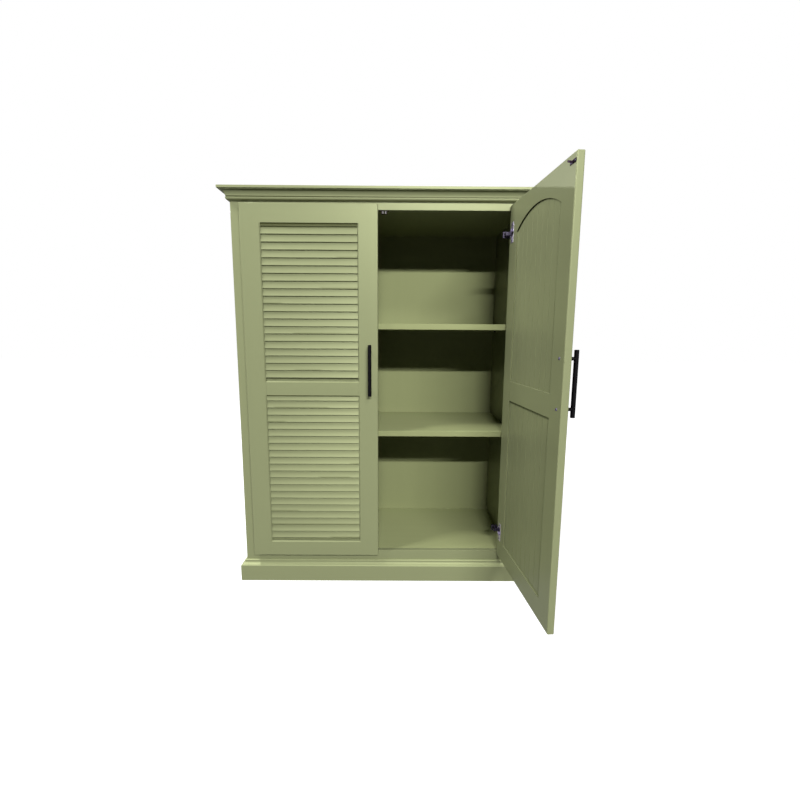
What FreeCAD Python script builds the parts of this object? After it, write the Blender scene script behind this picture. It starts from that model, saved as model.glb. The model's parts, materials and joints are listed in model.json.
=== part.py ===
import FreeCAD, Part

import math
import os
from types import SimpleNamespace

import Sketcher

# Two-door cabinet with louvred fronts, one door shut and one standing open.
# Millimetres.  +Z is up, +X to the right of someone facing the doors, +Y into the cabinet.
# The origin is on the floor, under the middle of the face frame's front plane.

# Driving dimensions.  Every one is a cell of the sheet and can be changed by itself.
SIZES = {
    # carcass
    "body_width": 968,
    "body_depth": 412,
    "overall_height": 1359,
    "side_thickness": 12,
    "panel_thickness": 18,
    "cap_thickness": 12,
    "back_thickness": 6,
    "back_inset": 6,
    "back_groove": 6,
    "back_foot": 80,
    "rear_rail_thickness": 18,
    # face frame
    "frame_thickness": 19,
    "frame_stile_width": 47,
    "opening_bottom": 111,
    "frame_bottom_rail": 76,
    "frame_top_rail": 53,
    # shelves and their pins
    "shelf_thickness": 19,
    "shelf_setback": 3,
    "shelf_slack": 1,
    "lower_shelf_top": 557,
    "upper_shelf_top": 929,
    "pin_radius": 2.5,
    "pin_slack": 0.05,
    "pin_depth": 8,
    "pin_reach": 8,
    "pin_front": 60,
    "pin_rear": 340,
    # base moulding
    "base_thickness": 18,
    "base_face": 56,
    "base_nose": 4,
    "base_quirk": 1,
    "base_cove": 8,
    "base_bead": 3,
    "base_bead_stem": 3,
    # crown moulding
    "crown_foot": 4,
    "crown_quirk": 2,
    "crown_ovolo_reach": 8,
    "crown_ovolo_rise": 14,
    "crown_cove": 13,
    "crown_lip": 4,
    "crown_fillet": 8,
    # doors
    "door_thickness": 20,
    "door_overlay": 12.5,
    "door_overlay_top": 15,
    "door_overlay_bottom": 10,
    "door_gap": 3,
    "door_back_gap": 2.5,
    "door_round": 3,
    "door_stile": 66.5,
    "door_top_rail": 64.5,
    "door_bottom_rail": 55.5,
    "door_middle_rail": 52.5,
    "middle_rail_rise": 580.5,
    "front_chamfer": 3.5,
    "rail_lip": 9,
    "rail_lip_under": 3.5,
    "arch_spring": 95,
    "arch_apex": 53,
    "right_door_angle": 94.9,
    # grooved door panels
    "door_panel_thickness": 4,
    "door_panel_recess": 4,
    "tongue": 5,
    "tongue_slack": 0.5,
    "bead_margin": 15.5,
    "bead_count": 9,
    "bead_depth": 1.2,
    "bead_width": 2.4,
    # slats
    "slat_width": 27.5,
    "slat_thickness": 4.4,
    "slat_nose": 1.2,
    "slat_tilt": 11.5,
    "slat_count": 21,
    "slat_margin": 11,
    "upper_slat_strip": 7.5,
    "lower_slat_strip": 16,
    # hinges
    "pivot_inset": 8.5,
    "hinge_rise": 97,
    "hinge_drop": 89,
    "cup_inset": 21,
    "cup_radius": 17.5,
    "cup_depth": 14,
    "cup_wall": 0.8,
    "cup_slack": 0.1,
    "cup_rim": 0.5,
    "flange_thickness": 1.2,
    "flange_height": 64,
    "flange_width": 20,
    "flange_offset": 6,
    "flange_screw_spacing": 48,
    "hinge_pin_radius": 1.25,
    "hinge_pin_slack": 0.05,
    "hinge_sleeve_wall": 1,
    "arm_height": 10,
    "arm_strip": 2,
    "arm_drop": 0.5,
    "arm_dip": 1.3,
    "arm_reach": 26,
    "arm_rise": 19.5,
    "arm_block_reach": 30,
    "arm_block_height": 20,
    "arm_block_depth": 6,
    "plate_thickness": 2,
    "plate_setback": 2,
    "plate_depth": 15,
    "plate_height": 44,
    "plate_screw_spacing": 32,
    # handles
    "handle_rise": 671,
    "handle_inset": 27,
    "handle_standoff": 24,
    "handle_length": 172,
    "handle_spacing": 128,
    "handle_radius": 6,
    "post_radius": 5,
    # roller catches and their strikes
    "catch_inset": 16.5,
    "catch_length": 33,
    "catch_width": 13,
    "catch_setback": 1,
    "catch_depth": 11,
    "catch_sheet": 1.2,
    "catch_screw_spacing": 26,
    "roller_offset": 4.4,
    "roller_radius": 2.6,
    "roller_slack": 0.4,
    "axle_radius": 0.9,
    "axle_slack": 0.05,
    "fork_width": 8,
    "fork_inner": 2.2,
    "strike_plate_width": 30,
    "strike_plate_height": 9,
    "strike_plate_thickness": 1,
    "strike_screw_spacing": 22,
    "spear_height": 5,
    "spear_neck": 1.2,
    "spear_head": 2.2,
    "spear_neck_length": 8,
    "spear_length": 13.5,
    # screw heads
    "wood_screw_head": 3.2,
    "wood_screw_head_height": 1.4,
    "small_screw_head": 2.2,
    "small_screw_head_height": 1,
    "bolt_head": 4,
    "bolt_head_height": 2.2,
}

LEFT, RIGHT = 1, -1
# Screw heads and shelf pins are plain eight-sided pegs.
PEG_SIDES = 8
# How far a cutting shape runs on past what it cuts.
OVERCUT = 1
PLANE_TOLERANCE = 1e-4
VOLUME_TOLERANCE = 1e-6


# ---------------------------------------------------------------- formulas on the sheet

class Length:
    """A formula on the sheet's cells, put together with ordinary arithmetic."""

    def __init__(self, text):
        self.text = text

    def __add__(self, other):
        return Length(f"({self.text} + {formula(other)})")

    def __radd__(self, other):
        return Length(f"({formula(other)} + {self.text})")

    def __sub__(self, other):
        return Length(f"({self.text} - {formula(other)})")

    def __rsub__(self, other):
        return Length(f"({formula(other)} - {self.text})")

    def __mul__(self, other):
        return Length(f"({self.text} * {formula(other)})")

    def __rmul__(self, other):
        return Length(f"({formula(other)} * {self.text})")

    def __truediv__(self, other):
        return Length(f"({self.text} / {formula(other)})")

    def __neg__(self):
        return Length(f"(-{self.text})")


def formula(length):
    return length.text if isinstance(length, Length) else str(length)


def root(length):
    return Length(f"sqrt({formula(length)})")


def square(length):
    return length * length


def sine(angle):
    return Length(f"sin({formula(angle)})")


def cosine(angle):
    return Length(f"cos({formula(angle)})")


def value(length):
    """Reckon a formula's present value."""
    result = sheet.evalExpression(formula(length))
    return float(getattr(result, "Value", result))


def bind(item, prop, length):
    """Tie a property to a formula, so that it follows the sheet."""
    item.setExpression(prop, formula(length))


doc = FreeCAD.newDocument("LouvredCabinet")
sheet = doc.addObject("Spreadsheet::Sheet", "Sizes")
for row, (size_name, number) in enumerate(SIZES.items(), start=1):
    sheet.set(f"A{row}", size_name)
    sheet.set(f"B{row}", str(number))
    sheet.setAlias(f"B{row}", size_name)
doc.recompute()
size = SimpleNamespace(**{size_name: Length(f"Sizes.{size_name}") for size_name in SIZES})
pieces = []


# ---------------------------------------------------------------- features

def board(name, x, y, z):
    """Make a plain board that fills three (low, high) ranges."""
    box = doc.addObject("Part::Box", name)
    box.Label = name
    fill(box, x, y, z)
    pieces.append(box)
    return box


def fill(box, x, y, z):
    """Give a box feature its three sides and its place."""
    for side, axis, (low, high) in zip(("Length", "Width", "Height"), "xyz", (x, y, z)):
        bind(box, side, high - low)
        bind(box, f"Placement.Base.{axis}", low)


def new_body(name, x=0, y=0, angle=0):
    """Start a piece whose own origin stands at x, y and is turned about the vertical."""
    body = doc.addObject("PartDesign::Body", name)
    body.Label = name
    bind(body, "Placement.Base.x", x)
    bind(body, "Placement.Base.y", y)
    bind(body, "Placement.Rotation.Angle", angle)
    pieces.append(body)
    return body


def origin(body, role):
    return next(item for item in body.Origin.OriginFeatures if item.Role == role)


def block(body, x, y, z, cut=False):
    """Add a block to a body, or cut one out of it."""
    kind, label = ("SubtractiveBox", "Recess") if cut else ("AdditiveBox", "Block")
    box = body.newObject(f"PartDesign::{kind}", label)
    fill(box, x, y, z)
    return box


AXIS_TURNS = {
    "x": FreeCAD.Rotation(FreeCAD.Vector(0, 1, 0), 90),
    "y": FreeCAD.Rotation(FreeCAD.Vector(1, 0, 0), -90),
    "z": FreeCAD.Rotation(),
}


def stand_along(feature, axis, centre, span):
    """Stand a rod or peg along an axis; the centre is in the other two axes."""
    low, high = span
    feature.Placement = FreeCAD.Placement(FreeCAD.Vector(), AXIS_TURNS[axis])
    place = dict(zip((other for other in "xyz" if other != axis), centre))
    place[axis] = low
    for other in "xyz":
        bind(feature, f"Placement.Base.{other}", place[other])
    bind(feature, "Height", high - low)


def rod(body, axis, centre, span, radius, cut=False):
    """Add a round rod along an axis, or bore a round hole."""
    kind, label = ("SubtractiveCylinder", "Bore") if cut else ("AdditiveCylinder", "Rod")
    cylinder = body.newObject(f"PartDesign::{kind}", label)
    stand_along(cylinder, axis, centre, span)
    bind(cylinder, "Radius", radius)


def peg(body, axis, centre, span, radius, cut=False):
    """Add an eight-sided peg along an axis, or cut the socket for one."""
    kind, label = ("SubtractivePrism", "Socket") if cut else ("AdditivePrism", "Peg")
    prism = body.newObject(f"PartDesign::{kind}", label)
    prism.Polygon = PEG_SIDES
    stand_along(prism, axis, centre, span)
    bind(prism, "Circumradius", radius)


def outline(body, plane, corners, offset):
    """Sketch a closed outline on a plane.

    A corner is (across, up), or (across, up, radius) where an arc runs from it to the next
    one.  A positive radius turns anticlockwise and a negative one clockwise.
    """
    sketch = body.newObject("Sketcher::SketchObject", "Outline")
    sketch.AttachmentSupport = [(origin(body, f"{plane}_Plane"), "")]
    sketch.MapMode = "FlatFace"
    bind(sketch, "AttachmentOffset.Base.z", offset)
    points = [FreeCAD.Vector(value(corner[0]), value(corner[1]), 0) for corner in corners]
    starts, ends = [], []
    for index, corner in enumerate(corners):
        here, there = points[index], points[(index + 1) % len(points)]
        radius = value(corner[2]) if len(corner) == 3 else 0
        if radius:
            first, last = (here, there) if radius > 0 else (there, here)
            chord = last - first
            left = FreeCAD.Vector(-chord.y, chord.x, 0).normalize()
            depth = math.sqrt(radius ** 2 - (chord.Length / 2) ** 2)
            middle = (first + last) / 2 - left * (abs(radius) - depth)
            sketch.addGeometry(Part.Arc(first, middle, last), False)
        else:
            sketch.addGeometry(Part.LineSegment(here, there), False)
        starts.append(2 if radius < 0 else 1)
        ends.append(1 if radius < 0 else 2)
    for index, corner in enumerate(corners):
        following = (index + 1) % len(corners)
        joint = Sketcher.Constraint("Coincident", index, ends[index], following, starts[following])
        sketch.addConstraint(joint)
        for kind, length in (("DistanceX", corner[0]), ("DistanceY", corner[1])):
            place = Sketcher.Constraint(kind, -1, 1, index, starts[index], value(length))
            bind(sketch, f"Constraints[{sketch.addConstraint(place)}]", length)
        if len(corner) == 3:
            bend = Sketcher.Constraint("Radius", index, abs(value(corner[2])))
            radius = Length(f"abs({formula(corner[2])})")
            bind(sketch, f"Constraints[{sketch.addConstraint(bend)}]", radius)
    return sketch


def extrude(body, plane, corners, span, cut=False):
    """Run an outline from low to high across its plane, as solid or as a cut."""
    low, high = span
    faces_front = plane == "XZ"
    sketch = outline(body, plane, corners, -low if faces_front else low)
    kind = "Pocket" if cut else "Pad"
    feature = body.newObject(f"PartDesign::{kind}", kind)
    feature.Profile = sketch
    feature.Reversed = faces_front != cut
    bind(feature, "Length", high - low)
    return feature


def repeat(body, feature, axis, step, count):
    """Repeat a feature along an axis."""
    pattern = body.newObject("PartDesign::LinearPattern", "Row")
    pattern.Originals = [feature]
    pattern.Direction = (origin(body, f"{axis}_Axis"), [""])
    pattern.Mode = "Spacing"
    bind(pattern, "Offset", step)
    bind(pattern, "Occurrences", count)
    body.Tip = pattern


def lies_on(edge, axis, level):
    corners = [getattr(vertex.Point, axis) for vertex in edge.Vertexes]
    return all(abs(corner - level) < PLANE_TOLERANCE for corner in corners)


def round_edges(body, radius, *plane_sets):
    """Round the edges that lie on one plane of every set; a plane is (axis, level)."""
    doc.recompute()
    base = body.Tip
    levels = [[(axis, value(level)) for axis, level in planes] for planes in plane_sets]
    names = []
    for number, edge in enumerate(base.Shape.Edges, start=1):
        if all(any(lies_on(edge, *plane) for plane in planes) for planes in levels):
            names.append(f"Edge{number}")
    fillet = body.newObject("PartDesign::Fillet", "Rounding")
    fillet.Base = (base, names)
    bind(fillet, "Radius", radius)


def screw_head(body, axis, centre, seat, outward, kind):
    """Set a screw's head on the seat, standing outwards along the axis."""
    radius, height = kind
    peg(body, axis, centre, (seat, seat + height) if outward > 0 else (seat - height, seat), radius)


# ---------------------------------------------------------------- shared levels

half_width = size.body_width / 2
inner_half = half_width - size.side_thickness
opening_half = half_width - size.frame_stile_width
opening_top = size.overall_height - size.cap_thickness - size.frame_top_rail
cap_underside = size.overall_height - size.cap_thickness
back_face = size.body_depth - size.back_inset - size.back_thickness

crown_projection = (size.crown_foot + size.crown_ovolo_reach + size.crown_quirk
                    + size.crown_cove + size.crown_lip)
crown_height = (size.crown_fillet + size.crown_quirk * 3
                + size.crown_cove + size.crown_ovolo_rise)

door_width = opening_half + size.door_overlay - size.door_gap / 2
door_bottom = size.opening_bottom - size.door_overlay_bottom
door_top = opening_top + size.door_overlay_top
pivot_x = opening_half + size.door_overlay - size.pivot_inset
pivot_y = -(size.door_back_gap + size.door_thickness / 2)
hinge_levels = (door_bottom + size.hinge_rise, door_top - size.hinge_drop)

# Depths in a door, from its middle plane, which holds the hinge axis.
door_front = -(size.door_thickness / 2)
door_back = size.door_thickness / 2
panel_back = door_back - size.door_panel_recess
panel_front = panel_back - size.door_panel_thickness

# Heights of the walls round the louvred openings.
lower_sill = door_bottom + size.door_bottom_rail
lower_head = door_bottom + size.middle_rail_rise
upper_sill = lower_head + size.door_middle_rail
upper_head = door_top - size.door_top_rail
groove_depth = size.tongue + size.tongue_slack

catch_x = size.door_gap / 2 + size.catch_inset
catch_y = size.catch_setback + size.catch_width / 2
fork_bottom = opening_top - size.catch_depth
roller_span = (fork_bottom + size.catch_sheet + size.roller_slack,
               opening_top - size.catch_sheet - size.roller_slack)
strike_level = (roller_span[0] + roller_span[1]) / 2

WOOD_SCREW = (size.wood_screw_head, size.wood_screw_head_height)
SMALL_SCREW = (size.small_screw_head, size.small_screw_head_height)
HANDLE_BOLT = (size.bolt_head, size.bolt_head_height)


def middle(centre, width):
    """The range of a width about a centre."""
    return (centre - width / 2, centre + width / 2)


def mirrored(hand, span):
    """A range as it lies on the left or the right side of the cabinet."""
    low, high = span
    return (low, high) if hand == LEFT else (-high, -low)


# ---------------------------------------------------------------- carcass

def shelf_pin_places():
    """Depth and height of the pins that carry the shelves."""
    for shelf_top in (size.lower_shelf_top, size.upper_shelf_top):
        for depth in (size.pin_front, size.pin_rear):
            yield depth, shelf_top - size.shelf_thickness - size.pin_radius


def side_panel(name, hand):
    """Side board with a groove for the back and holes for the shelf pins."""
    body = new_body(name)
    block(body, mirrored(hand, (-half_width, -inner_half)),
          (size.frame_thickness, size.body_depth), (0, cap_underside))
    block(body, mirrored(hand, (-inner_half - size.back_groove, -inner_half)),
          (back_face, back_face + size.back_thickness), (size.back_foot, cap_underside), cut=True)
    for place in shelf_pin_places():
        hole = mirrored(hand, (-inner_half - size.pin_depth, -inner_half))
        peg(body, "x", place, hole, size.pin_radius + size.pin_slack, cut=True)


def carcass():
    """Sides, back, bottom, top, cap and the rail under the back."""
    side_panel("left_side_panel", LEFT)
    side_panel("right_side_panel", RIGHT)
    between_sides = (-inner_half, inner_half)
    inside = (size.frame_thickness, back_face)
    floor_underside = size.opening_bottom - size.panel_thickness
    board("bottom_panel", between_sides, inside, (floor_underside, size.opening_bottom))
    board("top_panel", between_sides, inside, (opening_top, opening_top + size.panel_thickness))
    board("top_cap", (-half_width, half_width), (0, size.body_depth),
          (cap_underside, size.overall_height))
    board("back_panel", (-inner_half - size.back_groove, inner_half + size.back_groove),
          (back_face, back_face + size.back_thickness), (size.back_foot, cap_underside))
    board("base_rear_rail", between_sides, (back_face - size.rear_rail_thickness, back_face),
          (0, floor_underside))


def face_frame():
    """Stiles and rails round the opening."""
    depth = (0, size.frame_thickness)
    for name, hand in (("face_frame_left_stile", LEFT), ("face_frame_right_stile", RIGHT)):
        board(name, mirrored(hand, (-half_width, -opening_half)), depth, (0, cap_underside))
    between_stiles = (-opening_half, opening_half)
    board("face_frame_bottom_rail", between_stiles, depth,
          (size.opening_bottom - size.frame_bottom_rail, size.opening_bottom))
    board("face_frame_top_rail", between_stiles, depth, (opening_top, cap_underside))


def shelf(name, top):
    """Loose shelf, notched at the front corners round the stiles."""
    body = new_body(name)
    wide, narrow = inner_half - size.shelf_slack, opening_half - size.shelf_slack
    front, rear = size.shelf_setback, back_face - size.shelf_slack
    notch = size.frame_thickness + size.shelf_slack
    corners = [(-narrow, front), (narrow, front), (narrow, notch), (wide, notch),
               (wide, rear), (-wide, rear), (-wide, notch), (-narrow, notch)]
    extrude(body, "XY", corners, (top - size.shelf_thickness, top))


def shelf_pins():
    """Pins in the sides, four under each shelf."""
    body = new_body("shelf_pins")
    for hand in (LEFT, RIGHT):
        pin = mirrored(hand, (-inner_half - size.pin_depth, -inner_half + size.pin_reach))
        for place in shelf_pin_places():
            peg(body, "x", place, pin, size.pin_radius)


# ---------------------------------------------------------------- mouldings

def crown_profile():
    """Crown section from its foot upwards, as (projection, height)."""
    quirk = size.crown_quirk
    level = size.overall_height - crown_height
    reach = size.crown_foot
    corners = [(0, level), (reach, level)]
    level = level + quirk
    corners.append((reach, level, size.crown_ovolo_rise))
    level = level + size.crown_ovolo_rise
    reach = reach + size.crown_ovolo_reach
    corners.append((reach, level))
    reach = reach + quirk
    corners.append((reach, level))
    level = level + quirk
    corners.append((reach, level, -size.crown_cove))
    level = level + size.crown_cove
    reach = reach + size.crown_cove
    corners.append((reach, level))
    level = level + quirk
    corners.append((reach, level))
    corners.append((crown_projection, level))
    corners.append((crown_projection, size.overall_height))
    corners.append((0, size.overall_height))
    return corners


def base_profile():
    """Base section from the floor upwards, as (projection, height)."""
    reach, level = size.base_thickness, size.base_face
    corners = [(0, 0), (reach, 0), (reach, level, size.base_nose)]
    reach, level = reach - size.base_nose, level + size.base_nose
    corners.append((reach, level))
    level = level + size.base_quirk
    corners.append((reach, level, -size.base_cove))
    reach, level = reach - size.base_cove, level + size.base_cove
    corners.append((reach, level))
    level = level + size.base_bead_stem
    corners.append((reach, level, size.base_bead))
    reach, level = reach - size.base_bead, level + size.base_bead
    corners.append((reach, level))
    corners.append((0, level))
    return corners


def turned_about(corners, place):
    """Lay a section's projections off to the low side of a face at the given place.

    The section is then seen from its other side, so each arc turns the other way.
    """
    return [(place - corner[0], corner[1], *(-radius for radius in corner[2:]))
            for corner in corners]


def laid_off(corners, place):
    """Lay a section's projections off to the high side of a face at the given place."""
    return [(place + corner[0], *corner[1:]) for corner in corners]


def moulding(name, profile, projection):
    """Run a moulding along the front and both sides, mitred at the two front corners."""
    reach = projection + OVERCUT
    levels = (-OVERCUT, size.overall_height + OVERCUT)
    front = new_body(f"{name}_front")
    extrude(front, "YZ", turned_about(profile, 0),
            (-half_width - projection, half_width + projection))
    for hand in (LEFT, RIGHT):
        corner = -hand * half_width
        tip = corner - hand * reach
        extrude(front, "XY", [(corner, 0), (tip, 0), (tip, -reach)], levels, cut=True)
    for side, hand in (("left", LEFT), ("right", RIGHT)):
        corner = -hand * half_width
        lay = turned_about if hand == LEFT else laid_off
        run = new_body(f"{name}_{side}")
        extrude(run, "XZ", lay(profile, corner), (-projection, size.body_depth))
        extrude(run, "XY", [(corner, 0), (corner, -reach), (corner - hand * reach, -reach)],
                levels, cut=True)


# ---------------------------------------------------------------- doors

class Door:
    """One door: its hand, and the names and places that its pieces share.

    A piece's own origin is on the hinge axis, at floor level, and its x runs along the door.
    """

    def __init__(self, name, hand, angle):
        self.name = name
        self.hand = hand
        self.angle = angle

    def body(self, piece):
        return new_body(f"{self.name}_{piece}", -self.hand * pivot_x, pivot_y, self.angle)

    def across(self, near, far):
        """The range between two distances from the door's hinge edge."""
        return mirrored(self.hand, (near - size.pivot_inset, far - size.pivot_inset))

    def at(self, distance):
        """The place at a distance from the door's hinge edge."""
        return self.hand * (distance - size.pivot_inset)


def door_stile(door, piece, near, far, groove, outer):
    """Upright of a door: outer edges rounded, inner edge grooved and chamfered."""
    body = door.body(piece)
    block(body, door.across(near, far), (door_front, door_back), (door_bottom, door_top))
    round_edges(body, size.door_round, [("y", door_front), ("y", door_back)],
                [("x", door.at(outer)), ("z", door_bottom), ("z", door_top)])
    block(body, door.across(*groove), (panel_front, panel_back), (door_bottom, door_top), cut=True)
    for sill, head in ((lower_sill, lower_head), (upper_sill, upper_head)):
        front_chamfer(body, door, sill, head)
    return body


def front_chamfer(body, door, sill, head):
    """Cut the mitred chamfer round the front of a louvred opening."""
    low, high = door.across(size.door_stile, door_width - size.door_stile)
    bevel = size.front_chamfer
    wedge = body.newObject("PartDesign::SubtractiveWedge", "Chamfer")
    limits = {"Xmin": low - bevel, "Xmax": high + bevel, "Zmin": sill - bevel, "Zmax": head + bevel,
              "X2min": low, "X2max": high, "Z2min": sill, "Z2max": head,
              "Ymin": door_front, "Ymax": door_front + bevel}
    for prop, limit in limits.items():
        bind(wedge, prop, limit)


def hinge_stile(door):
    """Upright that carries the hinge cups."""
    groove = (size.door_stile - groove_depth, size.door_stile)
    body = door_stile(door, "hinge_stile", 0, size.door_stile, groove, 0)
    for level in hinge_levels:
        rod(body, "y", (door.at(size.cup_inset), level),
            (door_back - size.cup_depth, door_back), size.cup_radius, cut=True)


def lock_stile(door):
    """Upright that carries the handle and the strike."""
    inner = door_width - size.door_stile
    groove = (inner, inner + groove_depth)
    door_stile(door, "lock_stile", inner, door_width, groove, door_width)


def rail_tenons(body, door, low, high):
    """Stub tenons that fill the stiles' grooves."""
    near, far = size.door_stile, door_width - size.door_stile
    for span in ((near - size.tongue, near), (far, far + size.tongue)):
        block(body, door.across(*span), (panel_front, panel_back), (low, high))


def door_span(door):
    return door.across(size.door_stile, door_width - size.door_stile)


def bottom_rail(door):
    """Bottom rail: chamfered front, higher lip behind and a groove for the panel."""
    body = door.body("bottom_rail")
    lip = lower_sill + size.rail_lip
    bevel = size.front_chamfer
    corners = [(door_front, door_bottom), (door_back, door_bottom), (door_back, lip),
               (panel_back, lip), (panel_back, lip - groove_depth),
               (panel_front, lip - groove_depth), (panel_front, lower_sill),
               (door_front + bevel, lower_sill), (door_front, lower_sill - bevel)]
    extrude(body, "YZ", corners, door_span(door))
    round_edges(body, size.door_round, [("y", door_front), ("y", door_back)],
                [("z", door_bottom)])
    rail_tenons(body, door, door_bottom, lip - groove_depth)


def middle_rail(door):
    """Middle rail: chamfered both ways in front and grooved both ways behind."""
    body = door.body("middle_rail")
    top_lip, under_lip = upper_sill + size.rail_lip, lower_head - size.rail_lip_under
    top_floor, under_roof = top_lip - groove_depth, under_lip + groove_depth
    bevel = size.front_chamfer
    corners = [(door_front + bevel, lower_head), (panel_front, lower_head),
               (panel_front, under_roof), (panel_back, under_roof),
               (panel_back, under_lip), (door_back, under_lip),
               (door_back, top_lip), (panel_back, top_lip),
               (panel_back, top_floor), (panel_front, top_floor),
               (panel_front, upper_sill), (door_front + bevel, upper_sill),
               (door_front, upper_sill - bevel), (door_front, lower_head + bevel)]
    extrude(body, "YZ", corners, door_span(door))
    rail_tenons(body, door, under_roof, top_floor)


def arch_corners(door, inward, foot):
    """Outline of the arch, moved outwards by a distance, down to a foot level.

    The first corner is the right-hand foot, and the arc runs over the top to the left.
    """
    low, high = door_span(door)
    centre = (low + high) / 2
    half = (high - low) / 2
    rise = size.arch_spring - size.arch_apex
    radius = (square(half) + square(rise)) / (2 * rise)
    bend = radius + inward
    reach = half + inward
    spring = door_top - size.arch_apex - radius + root(square(bend) - square(reach))
    return [(centre + reach, foot), (centre + reach, spring, bend),
            (centre - reach, spring), (centre - reach, foot)]


def top_rail(door):
    """Top rail: straight in front over the slats, arched behind over the panel."""
    body = door.body("top_rail")
    low, high = door_span(door)
    bevel = size.front_chamfer
    front = [(door_front + bevel, upper_head), (panel_front, upper_head),
             (panel_front, door_top), (door_front, door_top), (door_front, upper_head + bevel)]
    extrude(body, "YZ", front, (low, high))
    spring = door_top - size.arch_spring
    block(body, (low, high), (panel_front, door_back), (spring, door_top))
    round_edges(body, size.door_round, [("y", door_front), ("y", door_back)], [("z", door_top)])
    extrude(body, "XZ", arch_corners(door, 0, spring - OVERCUT), (panel_back, door_back), cut=True)
    extrude(body, "XZ", arch_corners(door, groove_depth, spring - OVERCUT),
            (panel_front, panel_back), cut=True)
    rail_tenons(body, door, upper_head, door_top)


def bead_grooves(body, door, low, high):
    """Cut the upright V grooves in a panel's inner face."""
    near, far = door_span(door)
    first = near + size.bead_margin
    pitch = (far - size.bead_margin - first) / (size.bead_count - 1)
    start, end = middle(first, size.bead_width)
    corners = [(start, panel_back), (end, panel_back), (first, panel_back - size.bead_depth)]
    groove = extrude(body, "XY", corners, (low, high), cut=True)
    repeat(body, groove, "X", pitch, size.bead_count)


def door_panels(door):
    """Thin grooved panels behind the slats, held in the frame's grooves."""
    near = size.door_stile - size.tongue
    sides = door.across(near, door_width - near)
    lower_foot = lower_sill + size.rail_lip - size.tongue
    lower_top = lower_head - size.rail_lip_under + size.tongue
    lower = door.body("lower_panel")
    block(lower, sides, (panel_front, panel_back), (lower_foot, lower_top))
    bead_grooves(lower, door, lower_foot, lower_top)
    upper_foot = upper_sill + size.rail_lip - size.tongue
    upper = door.body("upper_panel")
    extrude(upper, "XZ", arch_corners(door, size.tongue, upper_foot), (panel_front, panel_back))
    bead_grooves(upper, door, upper_foot, door_top)


def slats(door, piece, sill, head, strip):
    """A stack of overlapping tilted slats that rest on the panel.

    Each slat's lower edge is bevelled, and the top one is cut off by the rail above.
    """
    lean, stand = sine(size.slat_tilt), cosine(size.slat_tilt)
    first = sill + size.slat_margin
    step = (head - strip - first) / (size.slat_count - 1)
    flat = size.slat_thickness / 4
    top = first + size.slat_width * stand - flat * lean

    def on_slat(down, out):
        """A corner at a distance down the slat's back and out from it."""
        return (panel_front - down * lean - out * stand, top - down * stand + out * lean)

    straight = size.slat_width - size.slat_nose
    section = [on_slat(0, 0), on_slat(0, size.slat_thickness),
               on_slat(straight, size.slat_thickness),
               on_slat(size.slat_width, size.slat_thickness - flat),
               on_slat(size.slat_width, flat), on_slat(straight, 0)]
    body = door.body(piece)
    slat = extrude(body, "YZ", section, door_span(door))
    repeat(body, slat, "Z", step, size.slat_count)
    block(body, door_span(door), (door_front, door_back), (head, head + size.slat_width), cut=True)


# ---------------------------------------------------------------- handles

def handle_post_places(door):
    """Place along the door and height of the two posts."""
    level = door_bottom + size.handle_rise
    for post_level in middle(level, size.handle_spacing):
        yield door.at(door_width - size.handle_inset), post_level


def handle(door):
    """Bar handle on two posts."""
    across = door.at(door_width - size.handle_inset)
    depth = door_front - size.handle_standoff
    bar = door.body("handle_bar")
    ends = middle(door_bottom + size.handle_rise, size.handle_length)
    rod(bar, "z", (across, depth), ends, size.handle_radius)
    posts = door.body("handle_posts")
    for place in handle_post_places(door):
        rod(posts, "y", place, (depth, door_front), size.post_radius)
    rod(posts, "z", (across, depth), ends, size.handle_radius, cut=True)


# ---------------------------------------------------------------- hinges

def hinge_cups(door):
    """Sunk cups with their flanges and the pins that the arms turn on."""
    body = door.body("hinge_cups")
    across = door.at(size.cup_inset)
    outer = size.cup_radius - size.cup_slack
    floor = door_back - size.cup_depth + size.cup_slack
    face = door_back + size.flange_thickness
    flange = size.cup_inset + size.flange_offset
    for level in hinge_levels:
        rod(body, "y", (across, level), (floor, door_back), outer)
        rod(body, "y", (across, level), (door_back, door_back + size.cup_rim),
            size.cup_radius + size.cup_rim)
        block(body, door.across(*middle(flange, size.flange_width)), (door_back, face),
              middle(level, size.flange_height))
        rod(body, "y", (across, level), (floor + size.cup_wall, face), outer - size.cup_wall,
            cut=True)
        chord = root(square(outer) - square(size.cup_inset - size.pivot_inset))
        rod(body, "z", (0, 0), middle(level, chord * 2 - size.cup_wall), size.hinge_pin_radius)


def hinge_arms(name, hand):
    """Cranked arms from the cup pins to plates on the inner edge of the stile."""
    body = new_body(name, -hand * pivot_x, pivot_y)
    strip = size.arm_strip
    stile_edge = pivot_x - opening_half
    plate_face = stile_edge + size.plate_thickness
    plate = middle(size.plate_setback + size.plate_depth / 2 - pivot_y, size.plate_depth)
    reach, rise, dip = size.arm_reach, size.arm_rise, size.arm_dip
    upper, lower = strip / 2 - size.arm_drop, -strip / 2 - size.arm_drop
    crank = [(0, lower), (reach, lower - dip), (reach, rise), (plate_face, rise),
             (plate_face, rise - strip), (reach - strip, rise - strip),
             (reach - strip, upper - dip), (0, upper)]
    handed_crank = [(hand * across, depth) for across, depth in crank]
    sleeve = size.hinge_pin_radius + size.hinge_pin_slack + size.hinge_sleeve_wall
    for level in hinge_levels:
        span = middle(level, size.arm_height)
        extrude(body, "XY", handed_crank, span)
        rod(body, "z", (0, 0), span, sleeve)
        rod(body, "z", (0, 0), span, size.hinge_pin_radius + size.hinge_pin_slack, cut=True)
        block(body, mirrored(hand, (plate_face, size.arm_block_reach)),
              (rise - strip, rise - strip + size.arm_block_depth),
              middle(level, size.arm_block_height))
        block(body, mirrored(hand, (stile_edge, plate_face)), plate,
              middle(level, size.plate_height))


# ---------------------------------------------------------------- catches

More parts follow.
